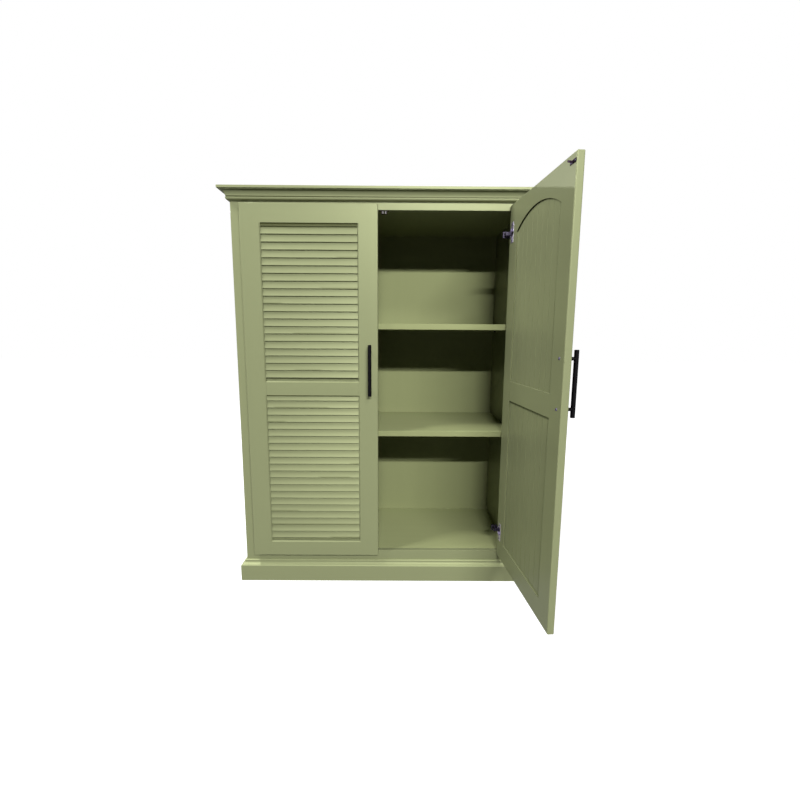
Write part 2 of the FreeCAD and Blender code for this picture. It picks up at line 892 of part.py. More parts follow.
def catch(name, hand):
    """Roller catch under the top rail: plate, two forks and their axles."""
    body = new_body(f"{name}_catch", -hand * catch_x, catch_y)
    ceiling = (opening_top - size.catch_sheet, opening_top)
    length, width = middle(0, size.catch_length), middle(0, size.catch_width)
    block(body, length, width, ceiling)
    tab = size.roller_offset + size.roller_radius + size.roller_slack
    fork = middle(0, size.fork_width)
    for side in (LEFT, RIGHT):
        block(body, mirrored(side, (tab, tab + size.catch_sheet)), fork,
              (fork_bottom, opening_top - size.catch_sheet / 2))
        block(body, mirrored(side, (size.fork_inner, tab + size.catch_sheet)), fork,
              (fork_bottom, fork_bottom + size.catch_sheet))
        rod(body, "z", (side * size.roller_offset, 0), (fork_bottom, opening_top),
            size.axle_radius)
    for side, side_name in ((RIGHT, "outer"), (LEFT, "inner")):
        roller = new_body(f"{name}_catch_{side_name}_roller", -hand * catch_x, catch_y)
        centre = (hand * side * size.roller_offset, 0)
        rod(roller, "z", centre, roller_span, size.roller_radius)
        rod(roller, "z", centre, roller_span, size.axle_radius + size.axle_slack, cut=True)


def strike(door):
    """Strike plate with the spear that goes between the rollers."""
    body = door.body("strike")
    centre = door_width - size.catch_inset
    face = door_back + size.strike_plate_thickness
    block(body, door.across(*middle(centre, size.strike_plate_width)), (door_back, face),
          middle(strike_level, size.strike_plate_height))
    neck, head = size.spear_neck / 2, size.spear_head / 2
    shoulder, tip = face + size.spear_neck_length, face + size.spear_length
    barb = shoulder + size.spear_head
    half = [(neck, door_back), (neck, shoulder), (head, shoulder + head), (head, barb)]
    middle_line = door.at(centre)
    corners = ([(middle_line + across, depth) for across, depth in half] + [(middle_line, tip)]
               + [(middle_line - across, depth) for across, depth in half[::-1]])
    extrude(body, "XY", corners, middle(strike_level, size.spear_height))


# ---------------------------------------------------------------- screws

def flange_screw_places(door):
    """Place along the door and height of the screws that hold the hinge cups."""
    for level in hinge_levels:
        for screw_level in middle(level, size.flange_screw_spacing):
            yield door.at(size.cup_inset + size.flange_offset), screw_level


def strike_screw_places(door):
    """Place along the door and height of the screws that hold the strike."""
    centre = door_width - size.catch_inset
    for distance in middle(centre, size.strike_screw_spacing):
        yield door.at(distance), strike_level


def door_screws(door):
    """Heads of the screws in a door: hinge flanges, strike and handle."""
    body = door.body("screws")
    for place in flange_screw_places(door):
        screw_head(body, "y", place, door_back + size.flange_thickness, 1, WOOD_SCREW)
    for place in strike_screw_places(door):
        screw_head(body, "y", place, door_back + size.strike_plate_thickness, 1, SMALL_SCREW)
    for place in handle_post_places(door):
        screw_head(body, "y", place, door_back, 1, HANDLE_BOLT)


def hinge_plate_screw_places():
    """Depth and height of the screws through the hinge plates into the stile's edge."""
    depth = size.plate_setback + size.plate_depth / 2
    for level in hinge_levels:
        for screw_level in middle(level, size.plate_screw_spacing):
            yield depth, screw_level


def catch_screw_places():
    """Place across and depth of the screws through the catch plates."""
    for hand in (LEFT, RIGHT):
        for across in middle(-hand * catch_x, size.catch_screw_spacing):
            yield across, catch_y


def cabinet_screws():
    """Heads of the screws in the face frame: hinge plates and catches."""
    body = new_body("frame_screws")
    for hand in (LEFT, RIGHT):
        seat = opening_half - size.plate_thickness
        for place in hinge_plate_screw_places():
            screw_head(body, "x", place, -hand * seat, hand, WOOD_SCREW)
    for place in catch_screw_places():
        screw_head(body, "z", place, opening_top - size.catch_sheet, -1, SMALL_SCREW)


# ---------------------------------------------------------------- the whole cabinet

def door_leaf(door):
    """All the pieces of one door."""
    hinge_stile(door)
    lock_stile(door)
    top_rail(door)
    middle_rail(door)
    bottom_rail(door)
    door_panels(door)
    slats(door, "upper_slats", upper_sill, upper_head, size.upper_slat_strip)
    slats(door, "lower_slats", lower_sill, lower_head, size.lower_slat_strip)
    handle(door)
    hinge_cups(door)
    strike(door)
    door_screws(door)


def cabinet():
    carcass()
    face_frame()
    shelf("lower_shelf", size.lower_shelf_top)
    shelf("upper_shelf", size.upper_shelf_top)
    shelf_pins()
    moulding("crown", crown_profile(), crown_projection)
    moulding("base", base_profile(), size.base_thickness)
    hinge_arms("left_hinge_arms", LEFT)
    hinge_arms("right_hinge_arms", RIGHT)
    catch("left", LEFT)
    catch("right", RIGHT)
    cabinet_screws()
    door_leaf(Door("left_door", LEFT, 0))
    door_leaf(Door("right_door", RIGHT, size.right_door_angle))


def check():
    """Stop if a feature failed, a cut took nothing away or a piece is not sound."""
    for item in doc.Objects:
        if {"Invalid", "Error"} & set(item.State):
            raise RuntimeError(f"{item.Label} failed: {item.State}")
        kind = item.TypeId.split("::")[-1]
        if kind == "Pocket" or kind.startswith("Subtractive"):
            if item.Shape.Volume >= item.BaseFeature.Shape.Volume - VOLUME_TOLERANCE:
                raise RuntimeError(f"{item.Label} cuts nothing")
    for piece in pieces:
        if piece.Shape.isNull() or not piece.Shape.isValid():
            raise RuntimeError(f"{piece.Label} has no sound shape")


def export():
    """Write each piece to its own file, named by its label."""
    os.makedirs("parts", exist_ok=True)
    for piece in pieces:
        piece.Shape.exportStep(os.path.join("parts", f"{piece.Label}.step"))


cabinet()
doc.recompute()
check()
export()
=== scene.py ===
import json
import math

import bmesh
import bpy
from bpy.props import FloatProperty, FloatVectorProperty, IntProperty, PointerProperty
from mathutils import Matrix, Vector


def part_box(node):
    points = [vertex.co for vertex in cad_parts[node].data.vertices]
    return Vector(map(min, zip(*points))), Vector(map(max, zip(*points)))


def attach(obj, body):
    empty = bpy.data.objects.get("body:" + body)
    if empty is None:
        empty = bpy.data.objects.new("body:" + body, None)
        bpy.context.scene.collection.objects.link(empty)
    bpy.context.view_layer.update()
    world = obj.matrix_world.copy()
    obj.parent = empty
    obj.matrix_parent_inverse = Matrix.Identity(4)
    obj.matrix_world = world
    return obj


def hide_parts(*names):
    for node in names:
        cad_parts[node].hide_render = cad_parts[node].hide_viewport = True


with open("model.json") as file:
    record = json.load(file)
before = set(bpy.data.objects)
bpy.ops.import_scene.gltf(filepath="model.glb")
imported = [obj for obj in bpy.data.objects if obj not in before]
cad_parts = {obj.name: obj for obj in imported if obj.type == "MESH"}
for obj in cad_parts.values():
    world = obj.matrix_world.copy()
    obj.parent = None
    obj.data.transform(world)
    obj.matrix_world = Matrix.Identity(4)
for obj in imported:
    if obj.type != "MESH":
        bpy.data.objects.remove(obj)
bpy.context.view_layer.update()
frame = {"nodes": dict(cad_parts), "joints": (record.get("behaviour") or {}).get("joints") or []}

bl_info = {
    "name": "Louvred door cabinet",
    "version": (1, 0, 0),
    "blender": (4, 5, 0),
    "location": "View3D > Sidebar > Cabinet",
    "description": "Dresses the louvred cabinet's frame with mouldings, slats, hardware and paint",
    "category": "Object",
}

# Metres.  +Z is up, +X to the right of someone facing the doors, +Y into the cabinet.

NODES = frame["nodes"]
JOINTS = {joint["name"]: joint for joint in frame["joints"]}
LEFT, RIGHT = 1, -1
MM = 0.001
WELD = 1e-6


def low(node):
    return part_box(node)[0]


def high(node):
    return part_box(node)[1]


# ---------------------------------------------------------------- sizes read from the frame

HALF_WIDTH = -low("face_frame_left_stile").x
DEPTH = high("top_cap").y
TOP = high("top_cap").z
DOOR_TOP = high("left_door_hinge_stile").z
DOOR_FRONT = low("left_door_hinge_stile").y
DOOR_BACK = high("left_door_hinge_stile").y
DOOR_WIDTH = high("left_door_lock_stile").x - low("left_door_hinge_stile").x
STILE = high("left_door_hinge_stile").x - low("left_door_hinge_stile").x
HALF_OPENING = DOOR_WIDTH / 2 - STILE
PANEL_FRONT = low("left_door_lower_panel").y
PANEL_BACK = high("left_door_lower_panel").y
PIVOT_INSET = JOINTS["left_door_hinge"]["pos_m"][0] - low("left_door_hinge_stile").x
PIVOT_Y = JOINTS["left_door_hinge"]["pos_m"][1]


# ---------------------------------------------------------------- settings

def length_prop(name, description, millimetres):
    return FloatProperty(name=name, description=description, default=millimetres * MM,
                         unit="LENGTH")


def colour_prop(name, description, *colour):
    return FloatVectorProperty(name=name, description=description, default=colour, size=3,
                               subtype="COLOR")


def share_prop(name, description, share):
    return FloatProperty(name=name, description=description, default=share, min=0, max=1,
                         subtype="FACTOR")


def power_prop(name, description, watts):
    return FloatProperty(name=name, description=description, default=watts, unit="POWER")


class SlatSettings(bpy.types.PropertyGroup):
    count: IntProperty(name="Slats", description="Slats in each opening", default=21, min=2)
    width: length_prop("Width", "Width of a slat", 27.5)
    thickness: length_prop("Thickness", "Thickness of a slat", 4.4)
    nose: length_prop("Nose", "Rounding of the slat's edges", 1.5)
    tilt: FloatProperty(name="Tilt", description="Lean of a slat from upright",
                        default=math.radians(11.5), unit="ROTATION")
    flare: length_prop("Flare", "How far the lower lip kicks out", 0.8)
    waver: length_prop("Waver", "How far a slat strays from straight", 1.1)
    seed: IntProperty(name="Seed", description="Pattern of the slats' unevenness", default=7)
    margin: length_prop("Foot margin", "Sill to the lowest slat's lip", 11)
    upper_strip: length_prop("Upper strip", "Top slat's lip below the top rail", 7.5)
    lower_strip: length_prop("Lower strip", "Top slat's lip below the middle rail", 16)


class TrimSettings(bpy.types.PropertyGroup):
    arris: length_prop("Arris", "Softening of the boards' edges", 0.7)
    chamfer: length_prop("Chamfer", "Chamfer round the louvred openings", 3.5)
    arch_spring: length_prop("Arch spring", "Door top to the arch's feet", 95)
    arch_apex: length_prop("Arch apex", "Door top to the arch's crown", 53)
    groove: length_prop("Groove", "Depth of the panel groove", 5.5)
    door_round: length_prop("Door rounding", "Rounding of a door's rim", 3)
    steps: IntProperty(name="Arc steps", description="Faces along each curve", default=10, min=2)


class FinishSettings(bpy.types.PropertyGroup):
    paint: colour_prop("Paint", "Colour of the painted wood", 0.300, 0.326, 0.172)
    # The inside paint is a lighter copy of the same paint: painted light for the dimmer inner
    # boards.
    inside: colour_prop("Inside paint", "Colour of the inner boards", 0.385, 0.42, 0.202)
    gleam: colour_prop("Gleam", "Tint of the paint's highlights", 0.93, 1.0, 0.58)
    nickel: colour_prop("Nickel", "Colour of the plated hinges", 0.78, 0.72, 0.90)
    bolt: colour_prop("Bolts", "Colour of the doors' screws", 0.20, 0.17, 0.30)
    # The hinge arms' nickel is near black, far darker than the cups' same plating: painted shade.
    dull: colour_prop("Dull nickel", "Colour of the hinge arms", 0.06, 0.053, 0.075)
    bronze: colour_prop("Dark metal", "Colour of catches and strikes", 0.022, 0.014, 0.022)
    black: colour_prop("Black coat", "Colour of the handles", 0.002, 0.0015, 0.0025)
    nylon: colour_prop("Nylon", "Colour of the catch rollers", 0.26, 0.25, 0.25)
    sheen: share_prop("Roughness", "Roughness of the paint", 0.40)
    bounce: share_prop("Bounce", "Share of its light that paint passes on", 0.20)
    grain: length_prop("Grain depth", "Height of the grain under the paint", 0.12)


class StageSettings(bpy.types.PropertyGroup):
    front_lamp: power_prop("Front lamp", "Ceiling lamp ahead", 122)
    right_lamp: power_prop("Right lamp", "Ceiling lamp ahead, to the right", 84)
    side_lamp: power_prop("Side lamp", "High lamp at the left", 54)
    edge_lamp: power_prop("Edge lamp", "Lamp in line with the front", 22)
    rear_lamp: power_prop("Rear lamp", "Ceiling lamp behind", 38)
    high_lamp: power_prop("High lamp", "Steeper ceiling lamp ahead", 22)


SETTINGS = {"cabinet_slats": SlatSettings, "cabinet_trim": TrimSettings,
            "cabinet_finish": FinishSettings, "cabinet_stage": StageSettings}


def settings(name):
    return getattr(bpy.context.scene, name)


# ---------------------------------------------------------------- meshes

# Each mesh carries marks that its paint or plating reads: positive on ridges, for wear and
# a painted highlight, negative in hollows and on undersides, for painted shade.
LIGHT_AND_WEAR_MARKS = "arris"
HOLLOW_SHADE = -1
ROUNDING_STEPS = 2
FLAT_JOIN = math.radians(0.4)
LOOKS_DOWN = -0.5


def in_scene(name, data):
    obj = bpy.data.objects.new(name, data)
    bpy.context.scene.collection.objects.link(obj)
    return obj


def mesh_from(name, bm, matrix=None):
    """Close a bmesh into a mesh whose faces point outwards."""
    bmesh.ops.remove_doubles(bm, verts=bm.verts, dist=WELD)
    if matrix is not None:
        bm.transform(matrix)
    bmesh.ops.recalc_face_normals(bm, faces=bm.faces)
    mesh = bpy.data.meshes.new(name)
    bm.to_mesh(mesh)
    bm.free()
    return mesh


def evaluated_mesh(obj):
    graph = bpy.context.evaluated_depsgraph_get()
    return bpy.data.meshes.new_from_object(obj.evaluated_get(graph), depsgraph=graph)


def weigh_normals(obj):
    """Keep broad faces flat where they meet small roundings."""
    modifier = obj.modifiers.new("Weighted normals", "WEIGHTED_NORMAL")
    modifier.keep_sharp = True
    mesh = evaluated_mesh(obj)
    obj.modifiers.remove(modifier)
    old, obj.data = obj.data, mesh
    mesh.name = obj.name
    bpy.data.meshes.remove(old)


def piece(name, bm, body, node, material, matrix=None, smooth=32):
    """Put a finished shape in the scene, on its body, and hide the node that it stands for."""
    mesh = mesh_from(name, bm, matrix)
    mesh.materials.append(material)
    for polygon in mesh.polygons:
        polygon.use_smooth = True
    mesh.set_sharp_from_angle(angle=math.radians(smooth))
    obj = in_scene(name, mesh)
    weigh_normals(obj)
    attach(obj, body)
    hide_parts(node)


def soften(bm, width, sharp=40, shortest=4, ridge=1):
    """Round the long sharp edges; mark ridges for wear and painted highlight, hollows for painted
    shade.
    """
    limit = math.radians(sharp)
    layer = bm.verts.layers.float.new(LIGHT_AND_WEAR_MARKS)
    for side, mark in ((1, ridge), (-1, HOLLOW_SHADE)):
        edges = [edge for edge in bm.edges
                 if len(edge.link_faces) == 2 and edge.calc_length() > shortest * width
                 and side * edge.calc_face_angle_signed() > limit]
        if edges:
            made = bmesh.ops.bevel(bm, geom=edges, offset=width, segments=ROUNDING_STEPS,
                                   profile=0.5, affect="EDGES", clamp_overlap=True)
            rounding = set(made["faces"])
            for vert in made["verts"]:
                if rounding.issuperset(vert.link_faces):
                    vert[layer] = mark


def shade_undersides(bm, depth, top=math.inf):
    """Mark the faces below a level that look down, where little light reaches."""
    layer = bm.verts.layers.float[LIGHT_AND_WEAR_MARKS]
    bm.normal_update()
    for face in bm.faces:
        if face.normal.z < LOOKS_DOWN and face.calc_center_median().z < top:
            for vert in face.verts:
                vert[layer] = depth * face.normal.z


def softened(node, body, material, width=None, ridge=1, shade=0):
    """The node's own shape, its triangles joined into faces, with soft arrises and marks of wear,
    painted highlight and painted shade.
    """
    bm = bmesh.new()
    bm.from_mesh(NODES[node].data)
    bmesh.ops.remove_doubles(bm, verts=bm.verts, dist=WELD)
    bmesh.ops.dissolve_limit(bm, angle_limit=FLAT_JOIN, verts=bm.verts, edges=bm.edges)
    soften(bm, width or settings("cabinet_trim").arris, ridge=ridge)
    if shade:
        shade_undersides(bm, shade)
    piece(f"{node}_painted", bm, body, node, material)


def loft(sections):
    """A closed solid through sections with the same number of points."""
    bm = bmesh.new()
    rings = [[bm.verts.new(point) for point in section] for section in sections]
    for first, second in zip(rings, rings[1:]):
        for index in range(len(first)):
            after = (index + 1) % len(first)
            bm.faces.new((first[index], first[after], second[after], second[index]))
    bm.faces.new(rings[0])
    bm.faces.new(rings[-1][::-1])
    bmesh.ops.recalc_face_normals(bm, faces=bm.faces)
    return bm


def arc(start, end, radius, steps):
    """Points of an arc between two points, without the first; a negative radius is hollow."""
    start, end = Vector(start), Vector(end)
    chord = end - start
    outward = Vector((chord.y, -chord.x)).normalized()
    rise = math.sqrt(max(radius ** 2 - chord.length_squared / 4, 0))
    centre = (start + end) / 2 - outward * math.copysign(rise, radius)
    first = math.atan2(start.y - centre.y, start.x - centre.x)
    last = math.atan2(end.y - centre.y, end.x - centre.x)
    turn = (last - first + math.pi) % (2 * math.pi) - math.pi
    angles = [first + turn * step / steps for step in range(1, steps + 1)]
    return [(centre.x + abs(radius) * math.cos(angle), centre.y + abs(radius) * math.sin(angle))
            for angle in angles]


def outline(corners, steps):
    """Lay out a section's corners; a third number is the radius of the arc that follows."""
    points = []
    for index, corner in enumerate(corners):
        if index == 0 or len(corners[index - 1]) == 2:
            points.append(corner[:2])
        if len(corner) == 3:
            points.extend(arc(corner[:2], corners[index + 1][:2], corner[2], steps))
    return points


def box_of(points):
    """Lowest and highest corner of a list of points."""
    return [Vector([pick(point[axis] for point in points) for axis in range(3)])
            for pick in (min, max)]


# ---------------------------------------------------------------- doors

class Leaf:
    """One door: its hand, and the map from its own closed places to where it rests."""

    def __init__(self, name, hand):
        self.name = name
        self.hand = hand
        joint = JOINTS[f"{name}_hinge"]
        self.angle = math.radians(-joint["range_deg"][0]) if hand == RIGHT else 0
        pivot = Vector((joint["pos_m"][0], joint["pos_m"][1], 0))
        self.matrix = Matrix.Translation(pivot) @ Matrix.Rotation(self.angle, 4, "Z")

    def at(self, distance):
        """Place along the door, from its hinge axis, at a distance from the hinge edge."""
        return self.hand * (distance - PIVOT_INSET)

    def deep(self, level):
        """Depth in the door, from its hinge axis, of a depth of the closed door."""
        return level - PIVOT_Y

    def unturned_x(self, distance):
        """X that the door's materials read, its rest angle undone, at a distance along it."""
        return (Matrix.Rotation(-self.angle, 4, "Z") @ self.matrix
                @ Vector((self.at(distance), 0, 0))).x

    def own_box(self, node):
        """Lowest and highest corner of a node in the door's own places."""
        into = self.matrix.inverted()
        return box_of([into @ vert.co for vert in NODES[node].data.vertices])


LEAVES = [Leaf("left_door", LEFT), Leaf("right_door", RIGHT)]


# ---------------------------------------------------------------- nodes

FLOAT, VECTOR, COLOUR = "NodeSocketFloat", "NodeSocketVector", "NodeSocketColor"
INTEGER, GEOMETRY = "NodeSocketInt", "NodeSocketGeometry"
OBJECT, MATERIAL = "NodeSocketObject", "NodeSocketMaterial"

# The part of its range that a noise mostly keeps to.
NOISE_LOW, NOISE_HIGH = 0.3, 0.7


def feed(tree, node, links):
    """Fill a node's sockets, each by a link or with a plain value."""
    for socket, value in links:
        if isinstance(value, bpy.types.NodeSocket):
            tree.links.new(value, node.inputs[socket])
        else:
            node.inputs[socket].default_value = value


def add(tree, kind, links=(), **values):
    """Add a node, set its own values, fill its sockets and return its outputs."""
    node = tree.nodes.new(kind)
    for key, value in values.items():
        setattr(node, key, value)
    feed(tree, node, links)
    return node.outputs


def result(tree, kind, links=(), **values):
    """Add a node and return its first output."""
    return add(tree, kind, links, **values)[0]


def maths(tree, operation, first, second=0.0, clamp=False):
    return result(tree, "ShaderNodeMath", [(0, first), (1, second)], operation=operation,
                  use_clamp=clamp)


def plus(tree, first, second, clamp=False):
    return maths(tree, "ADD", first, second, clamp)


def minus(tree, first, second, clamp=False):
    return maths(tree, "SUBTRACT", first, second, clamp)


def times(tree, first, second, clamp=False):
    return maths(tree, "MULTIPLY", first, second, clamp)


def scaled(tree, vector, factor):
    return result(tree, "ShaderNodeVectorMath", [(0, vector), ("Scale", factor)],
                  operation="SCALE")


def each_times(tree, first, second):
    return result(tree, "ShaderNodeVectorMath", [(0, first), (1, second)],
                  operation="MULTIPLY")


def combined(tree, x=0.0, y=0.0, z=0.0):
    return result(tree, "ShaderNodeCombineXYZ", [(0, x), (1, y), (2, z)])


def axes_of(tree, vector):
    return add(tree, "ShaderNodeSeparateXYZ", [(0, vector)])


def spread(tree, value, from_low, from_high, to_low, to_high):
    """Carry one range over to another, held at its ends."""
    return result(tree, "ShaderNodeMapRange", [(0, value), (1, from_low), (2, from_high),
                                               (3, to_low), (4, to_high)])


def noise(tree, vector, scale, detail, roughness=0.5):
    return result(tree, "ShaderNodeTexNoise", [("Vector", vector), ("Scale", scale),
                                               ("Detail", detail), ("Roughness", roughness)])


def about_zero(tree, value, reach=1.0):
    """A noise spread evenly about zero."""
    return spread(tree, value, NOISE_LOW, NOISE_HIGH, -reach, reach)


def group(name, inputs, outputs):
    """A new shader group with the given sockets, what it takes in, and its end."""
    tree = bpy.data.node_groups.new(name, "ShaderNodeTree")
    for title, kind, default in inputs:
        socket = tree.interface.new_socket(title, in_out="INPUT", socket_type=kind)
        if default is not None:
            socket.default_value = default
    for title, kind in outputs:
        tree.interface.new_socket(title, in_out="OUTPUT", socket_type=kind)
    return tree, add(tree, "NodeGroupInput"), tree.nodes.new("NodeGroupOutput")


def geometry_tree(name, inputs):
    """A new geometry tree with the given inputs, what it takes in, and its end."""
    tree = bpy.data.node_groups.new(name, "GeometryNodeTree")
    tree.is_modifier = True
    for title, kind in (("Geometry", GEOMETRY), *inputs):
        tree.interface.new_socket(title, in_out="INPUT", socket_type=kind)
    tree.interface.new_socket("Geometry", in_out="OUTPUT", socket_type=GEOMETRY)
    return tree, add(tree, "NodeGroupInput"), tree.nodes.new("NodeGroupOutput")


def dress(tree, end, geometry, material):
    """End a geometry tree by giving what it makes its material."""
    dressed = result(tree, "GeometryNodeSetMaterial", [("Geometry", geometry),
                                                       ("Material", material)])
    feed(tree, end, [(0, dressed)])


def grown(tree, values, base=None):
    """Run a geometry tree on a mesh, which is used up, and return what it makes."""
    mesh = base or bpy.data.meshes.new("seed")
    obj = in_scene("seed", mesh)
    modifier = obj.modifiers.new("Nodes", "NODES")
    modifier.node_group = tree
    for item in tree.interface.items_tree:
        if item.item_type == "SOCKET" and item.in_out == "INPUT" and item.name in values:
            modifier[item.identifier] = values[item.name]
    made = evaluated_mesh(obj)
    obj.modifiers.remove(modifier)
    bpy.data.objects.remove(obj)
    bpy.data.meshes.remove(mesh)
    bm = bmesh.new()
    bm.from_mesh(made)
    bpy.data.meshes.remove(made)
    return bm


# ---------------------------------------------------------------- shader groups

MID_GREY = (0.5, 0.5, 0.5, 1)
GRAIN_DRIFT = 0.006
FINE_SHARE, WIDE_SHARE = 0.55, 0.45
CLOUD_SHARE, MOTTLE_SHARE, STREAK_SHARE = 0.5, 0.28, 0.45
# Wear and painted highlight on ridges; painted shade, greener as it deepens, in hollows and
# undersides.
WEAR_AND_HIGHLIGHT_SPAN, WEAR_AND_HIGHLIGHT_GAIN, WORN_POLISH = (0.42, 0.62), (0.04, 0.12), 0.4
SHADE_LOSS, SHADE_SPAN, SHADE_BLUE = -0.45, (0.2, 0.9), (1.0, 0.55)
BRUSH_RELIEF, SPECK_RELIEF, SHEEN_SWING = 0.1, 0.12, 0.015
EDGE_AND_HOLLOW_GAIN, SMUDGE_SWING = 0.35, 0.09


def grain_group():
    """Wood grain that runs along the first axis of its vector."""
    tree, start, end = group(
        "grain_marks",
        [("Vector", VECTOR, None), ("Across", FLOAT, 260.0), ("Along", FLOAT, 7.0)],
        [("Height", FLOAT), ("Streak", FLOAT)])
    axes = axes_of(tree, start["Vector"])
    drift = spread(tree, noise(tree, start["Vector"], 3.0, 2.0), 0.0, 1.0,
                   -GRAIN_DRIFT, GRAIN_DRIFT)
    across = [times(tree, plus(tree, axis, drift), start["Across"]) for axis in axes[1:3]]
    stretched = combined(tree, times(tree, axes[0], start["Along"]), *across)
    fine = noise(tree, stretched, 1.0, 4.0, 0.6)
    wide = noise(tree, stretched, 0.13, 2.0)
    feed(tree, end, [
        ("Height", plus(tree, times(tree, fine, FINE_SHARE), times(tree, wide, WIDE_SHARE))),
        ("Streak", spread(tree, wide, NOISE_LOW, NOISE_HIGH, 0.0, 1.0))])
    return tree


def film_group():
    """Brushed paint film: clouding, wear and painted highlight on ridges, painted shade in hollows
    and on undersides, sheen and brush relief.
    """
    tree, start, end = group(
        "paint_film",
        [("Vector", VECTOR, None), ("Paint", COLOUR, MID_GREY), ("Streak", FLOAT, 0.5),
         ("Arris", FLOAT, 0.0), ("Roughness", FLOAT, 0.45), ("Clouding", FLOAT, 0.1)],
        [("Color", COLOUR), ("Roughness", FLOAT), ("Height", FLOAT)])
    cloud = noise(tree, start["Vector"], 3.5, 3.0, 0.55)
    mottle = noise(tree, start["Vector"], 45.0, 3.0, 0.6)
    speck = noise(tree, start["Vector"], 900.0, 2.0)
    tone = plus(tree, times(tree, about_zero(tree, cloud), CLOUD_SHARE),
                times(tree, about_zero(tree, mottle), MOTTLE_SHARE))
    streak = spread(tree, start["Streak"], 0, 1, -1, 1)
    tone = plus(tree, tone, times(tree, streak, STREAK_SHARE))
    # Ridges get wear and a painted highlight; hollows and undersides get painted shade, with less
    # blue.
    rubbed_and_highlit = times(tree, start["Arris"], spread(tree, mottle, *WEAR_AND_HIGHLIGHT_SPAN, *WEAR_AND_HIGHLIGHT_GAIN), clamp=True)
    painted_shade = times(tree, start["Arris"], SHADE_LOSS, clamp=True)
    strength = plus(tree, times(tree, tone, start["Clouding"]), 1.0)
    strength = minus(tree, plus(tree, strength, rubbed_and_highlit), painted_shade)
    greener = combined(tree, 1.0, 1.0, spread(tree, painted_shade, *SHADE_SPAN, *SHADE_BLUE))
    rough = plus(tree, start["Roughness"], about_zero(tree, mottle, SHEEN_SWING))
    feed(tree, end, [
        ("Color", each_times(tree, scaled(tree, start["Paint"], strength), greener)),
        ("Roughness", minus(tree, rough, times(tree, rubbed_and_highlit, WORN_POLISH), clamp=True)),
        ("Height", plus(tree, times(tree, mottle, BRUSH_RELIEF),
                        times(tree, speck, SPECK_RELIEF)))])
    return tree


def metal_group():
    """Plated or coated metal: smudges, specks, rubbed arrises and darker hollows."""
    tree, start, end = group(
        "metal_marks",
        [("Vector", VECTOR, None), ("Metal", COLOUR, MID_GREY), ("Roughness", FLOAT, 0.3),
         ("Marks", FLOAT, 0.1), ("Arris", FLOAT, 0.0)],
        [("Color", COLOUR), ("Roughness", FLOAT), ("Height", FLOAT)])
    smudge = about_zero(tree, noise(tree, start["Vector"], 70.0, 4.0, 0.65))
    speck = noise(tree, start["Vector"], 1600.0, 2.0)
    tone = plus(tree, times(tree, smudge, start["Marks"]),
                times(tree, start["Arris"], EDGE_AND_HOLLOW_GAIN))
    feed(tree, end, [
        ("Color", scaled(tree, start["Metal"], plus(tree, tone, 1.0))),
        ("Roughness", plus(tree, start["Roughness"], times(tree, smudge, SMUDGE_SWING),
                           clamp=True)),
        ("Height", speck)])
    return tree


GROUPS = {}


def use(tree, builder, links):
    """Place a shared group, built at its first use, and return its outputs."""
    if builder not in GROUPS:
        GROUPS[builder] = builder()
    return add(tree, "ShaderNodeGroup", links, node_tree=GROUPS[builder])


# ---------------------------------------------------------------- materials

# How the grain's axis is turned on to the world's, for boards that run each way.
ALONG_X, ALONG_Y, ALONG_Z = (0, 0, 0), (0, 0, -math.pi / 2), (0, math.pi / 2, 0)

# Range of a normal's Z over which a face comes to look up.
LOOKS_UP = 0.3, 0.9

# Heights over which the painted light is graded, and over which paint's passed-on light falls off.
HEIGHT_LIGHT_SPAN = 0.2, 1.25
BOUNCE_SPAN, BOUNCE_GAIN = (0.15, 1.2), (2.2, 0.7)
# Painted light on boards and mouldings, from lowest to highest: lighter low down, darker high up.
BOARD_HEIGHT_LIGHT, MOULDING_HEIGHT_LIGHT = (1.1, 0.94), (1.15, 1.0)

# How far below the arch and the middle rail the panels' shade starts, its width, and its
# depth from the hinge side to the lock side.
ARCH_SHADE, RAIL_SHADE, SHADE_WIDTH, SHADE_DEPTHS = 1.5 * MM, 5.5 * MM, 3 * MM, (0.9, 0.5)

# Gain of the painted sheen on the lower slats from hinge to lock stile, and the heights over which
# it fades.
GLOSS_GAIN, GLOSS_FADE = (0.14, 0.36), (0.45, 0.8)

PAINT_BUMP, METAL_BUMP = 0.8, 0.6

# Tint, roughness, strength of the marks, metallic, relief in millimetres, and shine.
METALS = {
    "nickel_plate_finish": ("nickel", 0.48, 0.12, 1.0, 0.02, 0.5),
    # The arms' darker nickel is painted shade.
    "dull_nickel_finish": ("dull", 0.42, 0.2, 1.0, 0.02, 0.5),
    "dark_catch_metal": ("bronze", 0.5, 0.2, 1.0, 0.02, 0.5),
    "dark_screw_finish": ("bronze", 0.45, 0.15, 1.0, 0.02, 0.5),
    "bolt_finish": ("bolt", 0.45, 0.15, 1.0, 0.02, 0.5),
    "black_coat_finish": ("black", 0.5, 0.25, 0.0, 0.06, 0.12),
    "nylon_finish": ("nylon", 0.4, 0.08, 0.0, 0.02, 0.5),
}
MATERIALS = {}


def material_start(name):
    MATERIALS[name] = bpy.data.materials.new(name)
    MATERIALS[name].use_nodes = True
    tree = MATERIALS[name].node_tree
    return MATERIALS[name], tree, tree.nodes["Principled BSDF"]


def surface_reads(tree):
    """The place and the marks of wear, painted highlight and painted shade that every material of
    the cabinet reads.
    """
    return (add(tree, "ShaderNodeTexCoord")["Object"],
            add(tree, "ShaderNodeAttribute", attribute_name=LIGHT_AND_WEAR_MARKS)["Fac"])


def bump(tree, height, distance, strength):
    return result(tree, "ShaderNodeBump", [("Height", height), ("Distance", distance),
                                           ("Strength", strength)])


def height_light(lowest, highest):
    """Painted light that goes from the lowest boards' gain to the highest ones'."""
    def build(tree, axes):
        return spread(tree, axes[2], *HEIGHT_LIGHT_SPAN, lowest, highest)
    return build


